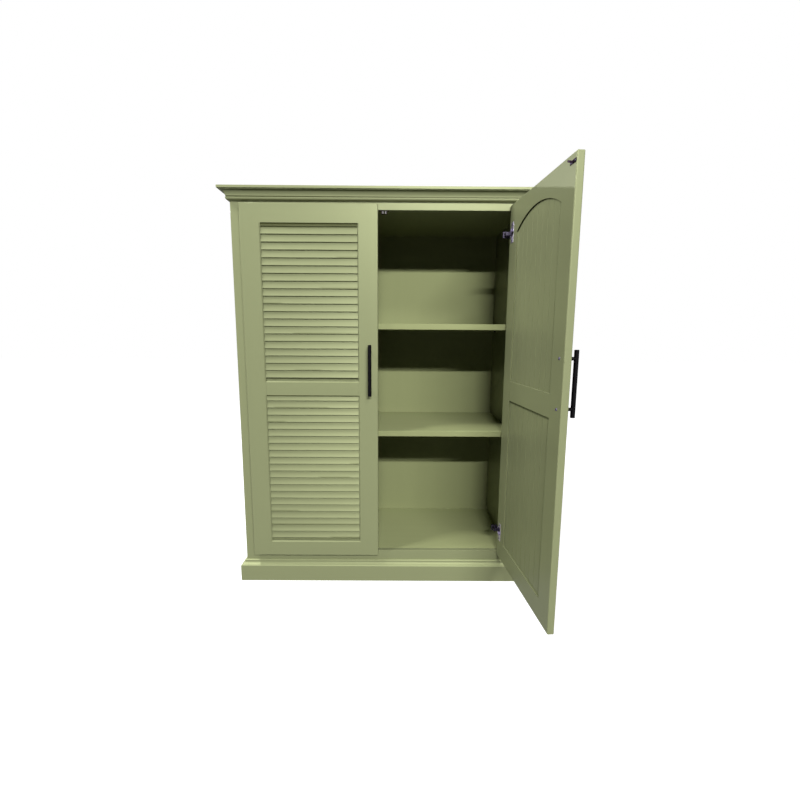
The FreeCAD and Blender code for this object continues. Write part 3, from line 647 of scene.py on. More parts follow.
def tucked(leaf):
    """Shade where a door's panels run in under the arch and the middle rail."""
    radius, centre = arch_circle(settings("cabinet_trim"))
    middle = leaf.unturned_x(DOOR_WIDTH / 2)
    rail = low(f"{leaf.name}_middle_rail").z

    def build(tree, axes):
        across = minus(tree, axes[0], middle)
        rise = minus(tree, axes[2], centre)
        reach = maths(tree, "SQRT", plus(tree, maths(tree, "POWER", across, 2.0),
                                         maths(tree, "POWER", rise, 2.0)))
        under_arch = (minus(tree, radius, reach), maths(tree, "GREATER_THAN", rise, 0.0),
                      ARCH_SHADE)
        under_rail = (minus(tree, rail, axes[2]), maths(tree, "LESS_THAN", axes[2], rail),
                      RAIL_SHADE)
        parts = [times(tree, spread(tree, gap, start, start + SHADE_WIDTH, 1.0, 0.0), band)
                 for gap, band, start in (under_arch, under_rail)]
        depth = spread(tree, times(tree, across, leaf.hand), -HALF_OPENING, HALF_OPENING,
                       *SHADE_DEPTHS)
        return minus(tree, 1.0, times(tree, plus(tree, *parts), depth))
    return build


def painted_sheen(leaf):
    """Painted sheen that makes the lower slats paler, most of all towards the lock stile."""
    foot = leaf.unturned_x(STILE)

    def build(tree, axes):
        along = times(tree, minus(tree, axes[0], foot), leaf.hand)
        gain = spread(tree, along, 0.0, 2 * HALF_OPENING, *GLOSS_GAIN)
        fade = spread(tree, axes[2], *GLOSS_FADE, 1.0, 0.0)
        return plus(tree, 1.0, times(tree, gain, fade))
    return build


def painted(title, run=ALONG_Z, turn=0.0, tint="paint", grain=1.0, clouding=0.02, rough=0.0,
            shine=0.65, settled=0.0, tones=()):
    """Satin paint over wood whose grain runs the given way.

    The gain of faces that look up is painted light, and each of the tones builds a further gain of
    painted light or shade.
    """
    name = f"{title}_{round(math.degrees(turn))}" if turn else title
    if name in MATERIALS:
        return MATERIALS[name]
    finish = settings("cabinet_finish")
    material, tree, shader = material_start(name)
    place, arris = surface_reads(tree)
    unturned = result(tree, "ShaderNodeMapping",
                      [("Vector", place), ("Rotation", (0, 0, -turn))])
    laid = result(tree, "ShaderNodeMapping", [("Vector", unturned), ("Rotation", run)])
    marks = use(tree, grain_group, [("Vector", laid)])
    film = use(tree, film_group, [
        ("Vector", laid), ("Paint", (*getattr(finish, tint), 1)), ("Streak", marks["Streak"]),
        ("Arris", arris), ("Roughness", finish.sheen + rough), ("Clouding", clouding)])
    height = plus(tree, times(tree, marks["Height"], grain), film["Height"])
    facing = add(tree, "ShaderNodeNewGeometry")["True Normal"]
    # Painted light: faces that look up are lighter.
    tone = spread(tree, axes_of(tree, facing)[2], *LOOKS_UP, 1.0, 1.0 + settled)
    axes = axes_of(tree, unturned)
    for build in tones:
        tone = times(tree, tone, build(tree, axes))
    bounced = add(tree, "ShaderNodeLightPath")["Is Diffuse Ray"]
    passed_on = spread(tree, bounced, 0, 1, 1, times(
        tree, finish.bounce, spread(tree, axes[2], *BOUNCE_SPAN, *BOUNCE_GAIN)))
    feed(tree, shader, [
        ("Base Color", scaled(tree, film["Color"], times(tree, passed_on, tone))),
        ("Roughness", film["Roughness"]),
        ("Normal", bump(tree, height, finish.grain, PAINT_BUMP)),
        ("Specular IOR Level", shine), ("Specular Tint", (*finish.gleam, 1))])
    return material


def metal(name):
    """Plated, coated or moulded small parts."""
    if name in MATERIALS:
        return MATERIALS[name]
    tint, rough, marks, metallic, relief, shine = METALS[name]
    colour = getattr(settings("cabinet_finish"), tint)
    material, tree, shader = material_start(name)
    place, arris = surface_reads(tree)
    skin = use(tree, metal_group, [("Vector", place), ("Metal", (*colour, 1)),
                                   ("Roughness", rough), ("Marks", marks), ("Arris", arris)])
    feed(tree, shader, [
        ("Base Color", skin["Color"]), ("Roughness", skin["Roughness"]),
        ("Normal", bump(tree, skin["Height"], relief * MM, METAL_BUMP)),
        ("Metallic", metallic), ("Specular IOR Level", shine)])
    return material


# ---------------------------------------------------------------- carcass

# Outer boards carry painted light graded by height; inner boards the lighter inside paint and
# painted light on faces that look up.
OUTER = {"grain": 0.8, "tones": (height_light(*BOARD_HEIGHT_LIGHT),)}
INNER = {"tint": "inside", "rough": 0.08, "shine": 0.06, "grain": 0.4, "settled": 0.3}
BOARDS = {
    "left_side_panel": ("paint_side", ALONG_Z, OUTER),
    "right_side_panel": ("paint_side", ALONG_Z, OUTER),
    "face_frame_left_stile": ("paint_upright", ALONG_Z, OUTER),
    "face_frame_right_stile": ("paint_upright", ALONG_Z, OUTER),
    "face_frame_top_rail": ("paint_level", ALONG_X, OUTER),
    "face_frame_bottom_rail": ("paint_level", ALONG_X, OUTER),
    "top_cap": ("paint_level", ALONG_X, OUTER),
    "top_panel": ("paint_inside", ALONG_X, INNER),
    "bottom_panel": ("paint_inside", ALONG_X, INNER),
    "lower_shelf": ("paint_inside", ALONG_X, INNER),
    "upper_shelf": ("paint_inside", ALONG_X, INNER),
    "base_rear_rail": ("paint_level", ALONG_X, OUTER),
    "back_panel": ("paint_back", ALONG_Z, INNER),
}


class Operation:
    """What the cabinet's operators share."""
    bl_options = {"REGISTER", "UNDO"}


class CABINET_OT_carcass(Operation, bpy.types.Operator):
    """Soften and paint the boards of the carcass and the face frame"""
    bl_idname = "cabinet.carcass"
    bl_label = "Carcass"

    def execute(self, context):
        for node, (title, run, look) in BOARDS.items():
            softened(node, "cabinet", painted(title, run, **look))
        return {"FINISHED"}


# ---------------------------------------------------------------- mouldings

MOULDING_ARRIS = 0.35 * MM

# Heights of the crown's groove, and the strength of the painted shade in its groove and on the
# undersides below it.
GROOVE_FOOT, GROOVE_TOP = TOP - 29 * MM, TOP - 27 * MM
GROOVE_SHADE, UNDERSIDE_SHADE = -1.9, 1.5


def crown_section():
    """Crown from its foot up: foot, bead, groove, cove, lip and square top edge."""
    foot, bead, groove, step = 4 * MM, 10.5 * MM, 9.3 * MM, 1.2 * MM
    cove, lip, lip_foot = 27 * MM, 31 * MM, TOP - 8 * MM
    level = TOP - 41 * MM
    return [(0, level), (foot, level), (foot, level + MM, 8 * MM), (bead, level + 7 * MM, 4 * MM),
            (groove, GROOVE_FOOT), (groove, GROOVE_TOP), (groove + step, GROOVE_TOP, -17 * MM),
            (cove, TOP - 10 * MM), (cove, lip_foot), (lip, lip_foot), (lip, TOP), (0, TOP)]


def base_section():
    """Base from the floor up: flat face, rounded nose, cove and small bead."""
    face, nose, fillet, bead = 18 * MM, 14 * MM, 6 * MM, 3 * MM
    face_top, cove_foot, cove_top, top = 56 * MM, 61 * MM, 69 * MM, 75 * MM
    return [(0, 0), (face, 0), (face, face_top, 4 * MM), (nose, 60 * MM),
            (nose, cove_foot, -8 * MM), (fillet, cove_top), (fillet, 72 * MM, 3 * MM),
            (bead, top), (0, top)]


def shade_groove(bm):
    """Mark painted shade in the crown's groove and on what looks down below it."""
    shade_undersides(bm, UNDERSIDE_SHADE, GROOVE_TOP)
    layer = bm.verts.layers.float[LIGHT_AND_WEAR_MARKS]
    for vert in bm.verts:
        if GROOVE_FOOT - 0.6 * MM < vert.co.z < GROOVE_TOP + 0.2 * MM:
            vert[layer] = GROOVE_SHADE


def run_moulding(name, section, along_front, along_side):
    """Run a section along the front and both sides, mitred at the corners."""
    points = outline(section, settings("cabinet_trim").steps)

    def mitre(side):
        return [(side * (HALF_WIDTH + reach), -reach, level) for reach, level in points]

    def rear(side):
        return [(side * (HALF_WIDTH + reach), DEPTH, level) for reach, level in points]

    for place, ends, material in (("front", (mitre(-1), mitre(1)), along_front),
                                  ("left", (mitre(-1), rear(-1)), along_side),
                                  ("right", (mitre(1), rear(1)), along_side)):
        bm = loft(ends)
        # The ridges get wear and a strong painted highlight.
        soften(bm, MOULDING_ARRIS, sharp=50, ridge=2)
        if name == "crown":
            shade_groove(bm)
        piece(f"{name}_{place}_run", bm, "cabinet", f"{name}_{place}", material)


class CABINET_OT_mouldings(Operation, bpy.types.Operator):
    """Run the crown and the base round the cabinet"""
    bl_idname = "cabinet.mouldings"
    bl_label = "Mouldings"

    def execute(self, context):
        # The base's faces that look up get painted light.
        for name, section, settled in (("crown", crown_section(), 0.0),
                                       ("base", base_section(), 0.4)):
            paints = [painted(f"paint_{name}_{way}", run, grain=0.25, settled=settled,
                              tones=(height_light(*MOULDING_HEIGHT_LIGHT),))
                      for way, run in (("front", ALONG_X), ("side", ALONG_Y))]
            run_moulding(name, section, *paints)
        return {"FINISHED"}


# ---------------------------------------------------------------- door frames and panels

ARCH_POINTS = 48
RIM_STEPS = 6
# Painted shade on the top rail's undersides.
RAIL_UNDERSIDE_SHADE = 2.4
RAIL_ARRIS, PANEL_ARRIS = 0.4 * MM, 0.25 * MM

# Paint, softening in millimetres, mark of the ridges for wear and painted highlight, and mark of
# the underside for painted shade.
DOOR_FRAME = {
    "hinge_stile": ("upright", 0.9, 6, 0),
    "lock_stile": ("upright", 0.5, 1, 0),
    "middle_rail": ("level", 0.9, 6, 2),
    "bottom_rail": ("level", 0.5, 1, 0),
}


def arch_circle(trim):
    """Radius of the arch over a panel and the height of its centre."""
    rise = trim.arch_spring - trim.arch_apex
    radius = (HALF_OPENING ** 2 + rise ** 2) / (2 * rise)
    return radius, DOOR_TOP - trim.arch_apex - radius


def arch_levels(trim, inward):
    """Heights of the arch across its opening, moved outwards by a distance."""
    radius, centre = arch_circle(trim)
    for step in range(ARCH_POINTS + 1):
        across = HALF_OPENING * (2 * step / ARCH_POINTS - 1)
        yield DOOR_WIDTH / 2 + across, centre + math.sqrt((radius + inward) ** 2 - across ** 2)


def top_rail(leaf, material):
    """Rail that is straight in front of the slats and arched over the panel."""
    trim = settings("cabinet_trim")
    head = high(f"{leaf.name}_upper_slats").z
    front, back, panel_front, panel_back = (
        leaf.deep(level) for level in (DOOR_FRONT, DOOR_BACK, PANEL_FRONT, PANEL_BACK))
    bevel, rim = trim.chamfer, trim.door_round
    shoulder = DOOR_TOP - rim
    over_back = [(back, shoulder), *arc((back, shoulder), (back - rim, DOOR_TOP), rim,
                                        RIM_STEPS)]
    over_front = [(front + rim, DOOR_TOP), *arc((front + rim, DOOR_TOP), (front, shoulder), rim,
                                                RIM_STEPS)]
    sections = []
    for (distance, arch), (_, floor) in zip(arch_levels(trim, 0), arch_levels(trim, trim.groove)):
        profile = [(front, head + bevel), (front + bevel, head), (panel_front, head),
                   (panel_front, floor), (panel_back, floor), (panel_back, arch),
                   (back, arch), *over_back, *over_front]
        sections.append([(leaf.at(distance), depth, level) for depth, level in profile])
    bm = loft(sections)
    soften(bm, RAIL_ARRIS, shortest=2)
    shade_undersides(bm, RAIL_UNDERSIDE_SHADE)
    node = f"{leaf.name}_top_rail"
    piece(f"{node}_arched", bm, leaf.name, node, material, leaf.matrix)


class CABINET_OT_doors(Operation, bpy.types.Operator):
    """Soften and paint the door frames and their grooved panels"""
    bl_idname = "cabinet.doors"
    bl_label = "Doors"

    def execute(self, context):
        for leaf in LEAVES:
            # Door frames carry painted light graded by height, panels painted shade under the arch
            # and the middle rail.
            paints = {way: painted(f"paint_{way}", run, leaf.angle, tones=(height_light(*BOARD_HEIGHT_LIGHT),))
                      for way, run in (("upright", ALONG_Z), ("level", ALONG_X))}
            panel = painted("paint_panel", ALONG_Z, leaf.angle, clouding=0.03, grain=0.6,
                            tones=(tucked(leaf),))
            for part, (way, softening, ridge, shade) in DOOR_FRAME.items():
                softened(f"{leaf.name}_{part}", leaf.name, paints[way], softening * MM, ridge,
                         shade)
            for part in ("lower_panel", "upper_panel"):
                softened(f"{leaf.name}_{part}", leaf.name, panel, PANEL_ARRIS, ridge=0)
            top_rail(leaf, paints["level"])
        return {"FINISHED"}


# ---------------------------------------------------------------- slats

SPINE_POINTS, FACE_CUTS = 18, 3
LIP_SHARE = 0.55                    # of half a slat's width, that the kicked-out lip takes up
WAVER_PATTERN = (3.2, 1.0, 38.0)    # slow along a slat, quick from one to the next
SLAT_GAP, SLAT_AIR, CUT_BACK = 0.6 * MM, 0.15 * MM, 0.1 * MM
SILL_LAP = 9 * MM
UPPER_SEED, RIGHT_SEED = 11, 3
# Painted shade on slat undersides, on the top slat's strip under the rail, and under each lip.
SLAT_UNDERSIDE_SHADE, STRIP_SHADE = 1.6, -1.75
OVERLAP_SHADE, OVERLAP_START = -0.6, 0.08


def slat_tree():
    """A stack of tilted slats with a kicked-out lip, each a little out of true."""
    tree, start, end = geometry_tree("slat_stack", [
        ("Slats", INTEGER),
        *((title, FLOAT) for title in ("Pitch", "Length", "Width", "Thickness", "Nose", "Tilt",
                                       "Flare", "Waver", "Seed")),
        ("Material", MATERIAL)])
    line = result(tree, "GeometryNodeCurvePrimitiveLine",
                  [("End", combined(tree, start["Length"]))])
    spine = result(tree, "GeometryNodeResampleCurve", [("Curve", line),
                                                       ("Count", SPINE_POINTS)])
    upright = result(tree, "GeometryNodeSetCurveNormal", [("Curve", spine)], mode="Z_UP")
    section = result(tree, "GeometryNodeCurvePrimitiveQuadrilateral",
                     [("Width", start["Thickness"]), ("Height", start["Width"])])
    rounded = result(tree, "GeometryNodeFilletCurve",
                     [("Curve", section), ("Radius", start["Nose"])], mode="POLY")
    divided = result(tree, "GeometryNodeSubdivideCurve", [("Curve", rounded),
                                                          ("Cuts", FACE_CUTS)])
    solid = result(tree, "GeometryNodeCurveToMesh",
                   [("Curve", upright), ("Profile Curve", divided), ("Fill Caps", True)])
    half = times(tree, start["Width"], 0.5)
    lifted = result(tree, "GeometryNodeTransform", [("Geometry", solid),
                                                    ("Translation", combined(tree, z=half))])
    height = axes_of(tree, result(tree, "GeometryNodeInputPosition"))[2]
    lip = minus(tree, 1.0, maths(tree, "DIVIDE", height, times(tree, half, LIP_SHARE)),
                clamp=True)
    kick = times(tree, maths(tree, "POWER", lip, 2.0), times(tree, start["Flare"], -1.0))
    shaped = result(tree, "GeometryNodeSetPosition", [("Geometry", lifted),
                                                      ("Offset", combined(tree, y=kick))])
    rungs = result(tree, "GeometryNodeMeshLine",
                   [("Count", start["Slats"]), ("Offset", combined(tree, z=start["Pitch"]))])
    lean = combined(tree, times(tree, start["Tilt"], -1.0))
    stack = result(tree, "GeometryNodeInstanceOnPoints",
                   [("Points", rungs), ("Instance", shaped), ("Rotation", lean)])
    real = result(tree, "GeometryNodeRealizeInstances", [("Geometry", stack)])
    place = result(tree, "GeometryNodeInputPosition")
    pattern = result(tree, "ShaderNodeTexNoise",
                     [("Vector", each_times(tree, place, WAVER_PATTERN)), ("W", start["Seed"]),
                      ("Scale", 1.0), ("Detail", 1.0)], noise_dimensions="4D")
    swing = times(tree, minus(tree, pattern, 0.5), times(tree, start["Waver"], 2.0))
    stray = combined(tree, y=times(tree, swing, 0.5), z=swing)
    moved = result(tree, "GeometryNodeSetPosition", [("Geometry", real), ("Offset", stray)])
    dress(tree, end, moved, start["Material"])
    return tree


def slat_stack(leaf, place, tree, sill, head, strip):
    """Slats of one opening, lip to lip from the sill up, cut off under the rail."""
    slats = settings("cabinet_slats")
    upper = place == "upper"
    first = sill + slats.margin
    pitch = (head - strip - first) / (slats.count - 1)
    material = painted("paint_slat", ALONG_X, leaf.angle, clouding=0.03, tones=(painted_sheen(leaf),))
    bm = grown(tree, {
        "Slats": slats.count, "Pitch": pitch, "Length": 2 * (HALF_OPENING - SLAT_GAP),
        "Width": slats.width, "Thickness": slats.thickness, "Nose": slats.nose,
        "Tilt": slats.tilt, "Flare": slats.flare, "Waver": slats.waver,
        "Seed": slats.seed + upper * UPPER_SEED + (leaf.hand == RIGHT) * RIGHT_SEED,
        "Material": material})
    lean = slats.width * math.sin(slats.tilt)
    thick = slats.thickness / 2 * math.cos(slats.tilt)
    depth = leaf.deep(PANEL_FRONT) - thick - SLAT_AIR - slats.waver / 2
    left = min(leaf.at(STILE + SLAT_GAP), leaf.at(DOOR_WIDTH - STILE - SLAT_GAP))
    bmesh.ops.translate(bm, verts=bm.verts, vec=(left, depth - lean, first))
    cut = bmesh.ops.bisect_plane(bm, geom=bm.verts[:] + bm.edges[:] + bm.faces[:],
                                 plane_co=(0, 0, head - CUT_BACK), plane_no=(0, 0, 1),
                                 clear_outer=True)
    edges = [item for item in cut["geom_cut"] if isinstance(item, bmesh.types.BMEdge)]
    bmesh.ops.holes_fill(bm, edges=edges, sides=0)
    bmesh.ops.recalc_face_normals(bm, faces=bm.faces)
    # Painted shade: undersides, the top slat's strip under the rail, and a rise up each face under
    # the lip above.
    layer = bm.verts.layers.float.new(LIGHT_AND_WEAR_MARKS)
    shade_undersides(bm, SLAT_UNDERSIDE_SHADE)
    for vert in bm.verts:
        if upper and vert.co.z > head - strip + MM:
            vert[layer] = STRIP_SHADE
        elif vert[layer] == 0:
            rise = (vert.co.z - first) / pitch + OVERLAP_START
            vert[layer] = OVERLAP_SHADE * (rise - math.floor(rise)) ** 2
    node = f"{leaf.name}_{place}_slats"
    piece(f"{node}_laid", bm, leaf.name, node, material, leaf.matrix, smooth=50)


class CABINET_OT_louvres(Operation, bpy.types.Operator):
    """Lay the slats in both openings of both doors"""
    bl_idname = "cabinet.louvres"
    bl_label = "Louvres"

    def execute(self, context):
        slats = settings("cabinet_slats")
        tree = slat_tree()
        for leaf in LEAVES:
            for place, under, strip in (("lower", "bottom", slats.lower_strip),
                                        ("upper", "middle", slats.upper_strip)):
                slat_stack(leaf, place, tree, high(f"left_door_{under}_rail").z - SILL_LAP,
                           high(f"left_door_{place}_slats").z, strip)
        return {"FINISHED"}


# ---------------------------------------------------------------- handles

BAR_STEPS, POST_STEPS, PIN_STEPS = 40, 32, 24
BAR_ROUND, PIN_ROUND = 0.9 * MM, 0.4 * MM
POST_RADIUS = 5 * MM


def turned(profile, steps, origin, direction):
    """Turn a profile of (radius, length) about a line, closed at both ends."""
    bm = bmesh.new()
    turn = Vector(direction).to_track_quat("Z", "Y").to_matrix().to_4x4()
    matrix = Matrix.Translation(origin) @ turn
    rings = []
    for radius, length in profile:
        angles = [2 * math.pi * step / steps for step in range(steps if radius else 1)]
        rings.append([bm.verts.new(matrix @ Vector((
            radius * math.cos(angle), radius * math.sin(angle), length))) for angle in angles])
    for first, second in zip(rings, rings[1:]):
        for index in range(steps):
            after = (index + 1) % steps
            corners = [first[index % len(first)], first[after % len(first)],
                       second[after % len(second)], second[index % len(second)]]
            bm.faces.new(list(dict.fromkeys(corners)))
    return bm


def gathered(parts):
    """One mesh in place of several, which are freed."""
    bm = bmesh.new()
    for part in parts:
        held = bpy.data.meshes.new("held")
        part.to_mesh(held)
        part.free()
        bm.from_mesh(held)
        bpy.data.meshes.remove(held)
    return bm


def rounded_rod(radius, length, fillet, steps=4):
    """Profile of a rod with rounded ends, from its bottom up."""
    profile = [(0, 0), (radius - fillet, 0)]
    for step in range(1, steps + 1):
        angle = math.pi / 2 * step / steps
        profile.append((radius - fillet + fillet * math.sin(angle),
                        fillet - fillet * math.cos(angle)))
    return profile + [(across, length - along) for across, along in profile[::-1]]


def post_profile(reach):
    """Profile of a handle's post, from its flange on the door out to the bar."""
    waist, neck, end = POST_RADIUS - 0.5 * MM, POST_RADIUS - 0.2 * MM, reach - MM
    return [(0, 0), (POST_RADIUS, 0), (POST_RADIUS, 0.6 * MM), (waist, 1.1 * MM),
            (waist, reach - 2.5 * MM), (neck, reach - 1.2 * MM), (neck, end), (0, end)]


class CABINET_OT_handles(Operation, bpy.types.Operator):
    """Turn the bar handles and their posts"""
    bl_idname = "cabinet.handles"
    bl_label = "Handles"

    def execute(self, context):
        finish = metal("black_coat_finish")
        for leaf in LEAVES:
            bar, posts = f"{leaf.name}_handle_bar", f"{leaf.name}_handle_posts"
            near, far = leaf.own_box(bar)
            middle = (near + far) / 2
            rod = rounded_rod((far.y - near.y) / 2, far.z - near.z, BAR_ROUND)
            bm = turned(rod, BAR_STEPS, (middle.x, middle.y, near.z), (0, 0, 1))
            piece(f"{bar}_turned", bm, leaf.name, bar, finish, leaf.matrix)
            lowest, highest = leaf.own_box(posts)
            face = leaf.deep(DOOR_FRONT)
            bm = gathered([turned(post_profile(face - middle.y), POST_STEPS,
                                  (middle.x, face, level), (0, -1, 0))
                           for level in (lowest.z + POST_RADIUS, highest.z - POST_RADIUS)])
            piece(f"{posts}_turned", bm, leaf.name, posts, finish, leaf.matrix)
        return {"FINISHED"}


# ---------------------------------------------------------------- hinges and catches

def plate(node, body, finish, softening):
    softened(node, body, metal(finish), softening * MM)


class CABINET_OT_hinges(Operation, bpy.types.Operator):
    """Plate the hinge cups and arms"""
    bl_idname = "cabinet.hinges"
    bl_label = "Hinges"

    def execute(self, context):
        for side in ("left", "right"):
            plate(f"{side}_hinge_arms", "cabinet", "dull_nickel_finish", 0.25)
        for leaf in LEAVES:
            plate(f"{leaf.name}_hinge_cups", leaf.name, "nickel_plate_finish", 0.25)
        return {"FINISHED"}


class CABINET_OT_catches(Operation, bpy.types.Operator):
    """Finish the roller catches and their strikes"""
    bl_idname = "cabinet.catches"
    bl_label = "Catches"

    def execute(self, context):
        for side in ("left", "right"):
            plate(f"{side}_catch", "cabinet", "dark_catch_metal", 0.2)
            plate(f"{side}_door_strike", f"{side}_door", "dark_catch_metal", 0.15)
            for place in ("inner", "outer"):
                plate(f"{side}_catch_{place}_roller", f"{side}_{place}_roller", "nylon_finish",
                      0.3)
        return {"FINISHED"}


# ---------------------------------------------------------------- screws and pins

# A screw's head for a radius of 1: its height, and its cross's depth, reach and half width.
HEAD_STEPS, HEAD_HEIGHT = 24, 0.42
CROSS_DEPTH, CROSS_REACH, CROSS_HALF = 0.3, 0.62, 0.17
SCREW_SEED = 5


def cross_reach(angle):
    """Reach of the cross recess from the screw's axis."""
    along, aside = max(abs(math.cos(angle)), WELD), max(abs(math.sin(angle)), WELD)
    return max(min(CROSS_REACH / along, CROSS_HALF / aside),
               min(CROSS_HALF / along, CROSS_REACH / aside))


def screw_die():
    """A raised head of radius 1 with a cross recess, its seat at the origin."""
    angles = [2 * math.pi * step / HEAD_STEPS for step in range(HEAD_STEPS)]
    rounds = [(0.5, -0.6), (1.0, 0.0), (0.98, 0.3), (0.8, 0.8)]
    rings = [([reach] * HEAD_STEPS, share * HEAD_HEIGHT) for reach, share in rounds]
    for scale, level in ((1.0, HEAD_HEIGHT), (0.8, HEAD_HEIGHT - CROSS_DEPTH)):
        rings.append(([scale * cross_reach(angle) for angle in angles], level))
    bm = loft([[(reach * math.cos(angle), reach * math.sin(angle), level)
                for reach, angle in zip(reaches, angles)] for reaches, level in rings])
    return in_scene("screw_die", mesh_from("screw_die", bm))


def screw_tree():
    """Screw heads on a cloud of points, each turned its own way round its axis."""
    tree, start, end = geometry_tree("screw_heads", [("Head", OBJECT), ("Seed", INTEGER),
                                                     ("Material", MATERIAL)])
    head = add(tree, "GeometryNodeObjectInfo", [("Object", start["Head"])])["Geometry"]
    axis, reach = (
        result(tree, "GeometryNodeInputNamedAttribute", [("Name", name)], data_type=kind)
        for name, kind in (("axis", "FLOAT_VECTOR"), ("reach", "FLOAT")))
    aim = result(tree, "FunctionNodeAlignRotationToVector", [("Vector", axis)], axis="Z")
    spin = add(tree, "FunctionNodeRandomValue", [("Seed", start["Seed"]), (3, math.pi)],
               data_type="FLOAT")[1]
    turn = result(tree, "FunctionNodeEulerToRotation", [(0, combined(tree, z=spin))])
    both = result(tree, "FunctionNodeRotateRotation", [("Rotation", aim), ("Rotate By", turn)],
                  rotation_space="LOCAL")
    heads = result(tree, "GeometryNodeInstanceOnPoints",
                   [("Points", start["Geometry"]), ("Instance", head), ("Rotation", both),
                    ("Scale", reach)])
    real = result(tree, "GeometryNodeRealizeInstances", [("Geometry", heads)])
    dress(tree, end, real, start["Material"])
    return tree


def solids_of(node, matrix):
    """Corner points of each separate solid of a node, in a door's own frame."""
    bm = bmesh.new()
    bm.from_mesh(NODES[node].data)
    bm.transform(matrix)
    bmesh.ops.remove_doubles(bm, verts=bm.verts, dist=WELD)
    seen, solids = set(), []
    for vert in bm.verts:
        if vert.index in seen:
            continue
        stack, members = [vert], []
        seen.add(vert.index)
        while stack:
            current = stack.pop()
            members.append(current.co.copy())
            for edge in current.link_edges:
                other = edge.other_vert(current)
                if other.index not in seen:
                    seen.add(other.index)
                    stack.append(other)
        solids.append(members)
    bm.free()
    return solids


def head_of(points):
    """Seat, axis and radius of a screw's head.

    Heads on a stile face the cabinet's middle, those under a rail face down and those in a
    door face its back.
    """
    lowest, highest = box_of(points)
    middle, extent = (lowest + highest) / 2, highest - lowest
    along = list(extent).index(min(extent))
    axis = Vector((0, 0, 0))
    axis[along] = (-math.copysign(1, middle.x), 1, -1)[along]
    return middle - axis * extent[along] / 2, axis, max(extent) / 2


class CABINET_OT_screws(Operation, bpy.types.Operator):
    """Set the cross-headed screws and the shelf pins"""
    bl_idname = "cabinet.screws"
    bl_label = "Screws"

    def execute(self, context):
        tree, die = screw_tree(), screw_die()
        dark = metal("dark_screw_finish")
        sets = [("frame_screws", "cabinet", Matrix.Identity(4), dark)]
        sets += [(f"{leaf.name}_screws", leaf.name, leaf.matrix, metal("bolt_finish"))
                 for leaf in LEAVES]
        for node, body, matrix, steel in sets:
            seats, axes, radii = zip(*map(head_of, solids_of(node, matrix.inverted())))
            cloud = bpy.data.meshes.new("points")
            cloud.from_pydata(seats, [], [])
            aims = cloud.attributes.new("axis", "FLOAT_VECTOR", "POINT")
            aims.data.foreach_set("vector", [part for axis in axes for part in axis])
            reaches = cloud.attributes.new("reach", "FLOAT", "POINT")
            reaches.data.foreach_set("value", radii)
            bm = grown(tree, {"Head": die, "Seed": SCREW_SEED, "Material": steel}, cloud)
            piece(f"{node}_driven", bm, body, node, steel, matrix)
        bpy.data.objects.remove(die)
        rods = []
        for points in solids_of("shelf_pins", Matrix.Identity(4)):
            near, far = box_of(points)
            middle, extent = (near + far) / 2, far - near
            rods.append(turned(rounded_rod(extent.z / 2, extent.x, PIN_ROUND), PIN_STEPS,
                               (near.x, middle.y, middle.z), (1, 0, 0)))
        piece("shelf_pins_turned", gathered(rods), "cabinet", "shelf_pins", dark)
        return {"FINISHED"}


# ---------------------------------------------------------------- stage

# The camera's place, its pitch, yaw and roll, then its focal length and where its axis
# meets the sensor, in pixels of a square render.
EYE = Vector((0.0651, -1.5325, 0.8917))
PITCH, YAW, ROLL = 0.154607, 0.003965, -0.006308
FOCAL, AXIS_X, AXIS_Y, RENDER = 445.07, 399.20, 404.30, 800
SENSOR = 36
CLIP = 0.05, 60

# Each lamp's place, what it faces, its length and its width.
FRONT_AIM, SIDE_AIM, REAR_AIM = (0.1, 0, 0.7), (0.2, -0.1, 0.6), (0.45, -0.3, 1.3)
LAMPS = {
    "front_lamp": ((0.45, -4.4, 2.84), FRONT_AIM, 1.2, 0.07),
    "right_lamp": ((1.62, -4.7, 2.85), FRONT_AIM, 1.1, 0.07),
    "side_lamp": ((-2.36, -1.28, 4.32), SIDE_AIM, 0.6, 0.10),
    "edge_lamp": ((-1.3, -0.10, 2.2), SIDE_AIM, 0.6, 0.10),
    "rear_lamp": ((-2.6, 2.4, 2.115), REAR_AIM, 0.1, 0.03),
    "high_lamp": ((1.1, -2.6, 3.3), FRONT_AIM, 0.8, 0.3),
}

MIRRORED_SHARE = 0.3
WHITE = (1, 1, 1, 1)
FLOOR_HALF, FLOOR_CELLS, FLOOR_DROP = 14, 8, 0.5 * MM
FLOOR_UNSEEN, FLOOR_SEEN = 0.08, 0.86
GLOW_NEAR, GLOW_SPAN = 0.66, (1.0, 2.6)


def framed(right, up, ahead):
    """Turn that points an object's -Z ahead and its +Y up."""
    return Matrix((right, up, -ahead)).transposed().to_4x4()


def make_camera():
    data = bpy.data.cameras.new("camera")
    data.sensor_width = SENSOR
    data.lens = FOCAL * SENSOR / RENDER
    data.shift_x = (RENDER / 2 - AXIS_X) / RENDER
    data.shift_y = (AXIS_Y - RENDER / 2) / RENDER
    data.clip_start, data.clip_end = CLIP
    level = Vector((math.cos(YAW), -math.sin(YAW), 0))
    upward = Vector((math.sin(YAW) * math.sin(PITCH), math.cos(YAW) * math.sin(PITCH),
                     math.cos(PITCH)))
    ahead = Vector((math.sin(YAW) * math.cos(PITCH), math.cos(YAW) * math.cos(PITCH),
                    -math.sin(PITCH)))
    right = level * math.cos(ROLL) - upward * math.sin(ROLL)
    top = level * math.sin(ROLL) + upward * math.cos(ROLL)
    obj = in_scene("camera", data)
    obj.matrix_world = Matrix.Translation(EYE) @ framed(right, top, ahead)
    bpy.context.scene.camera = obj


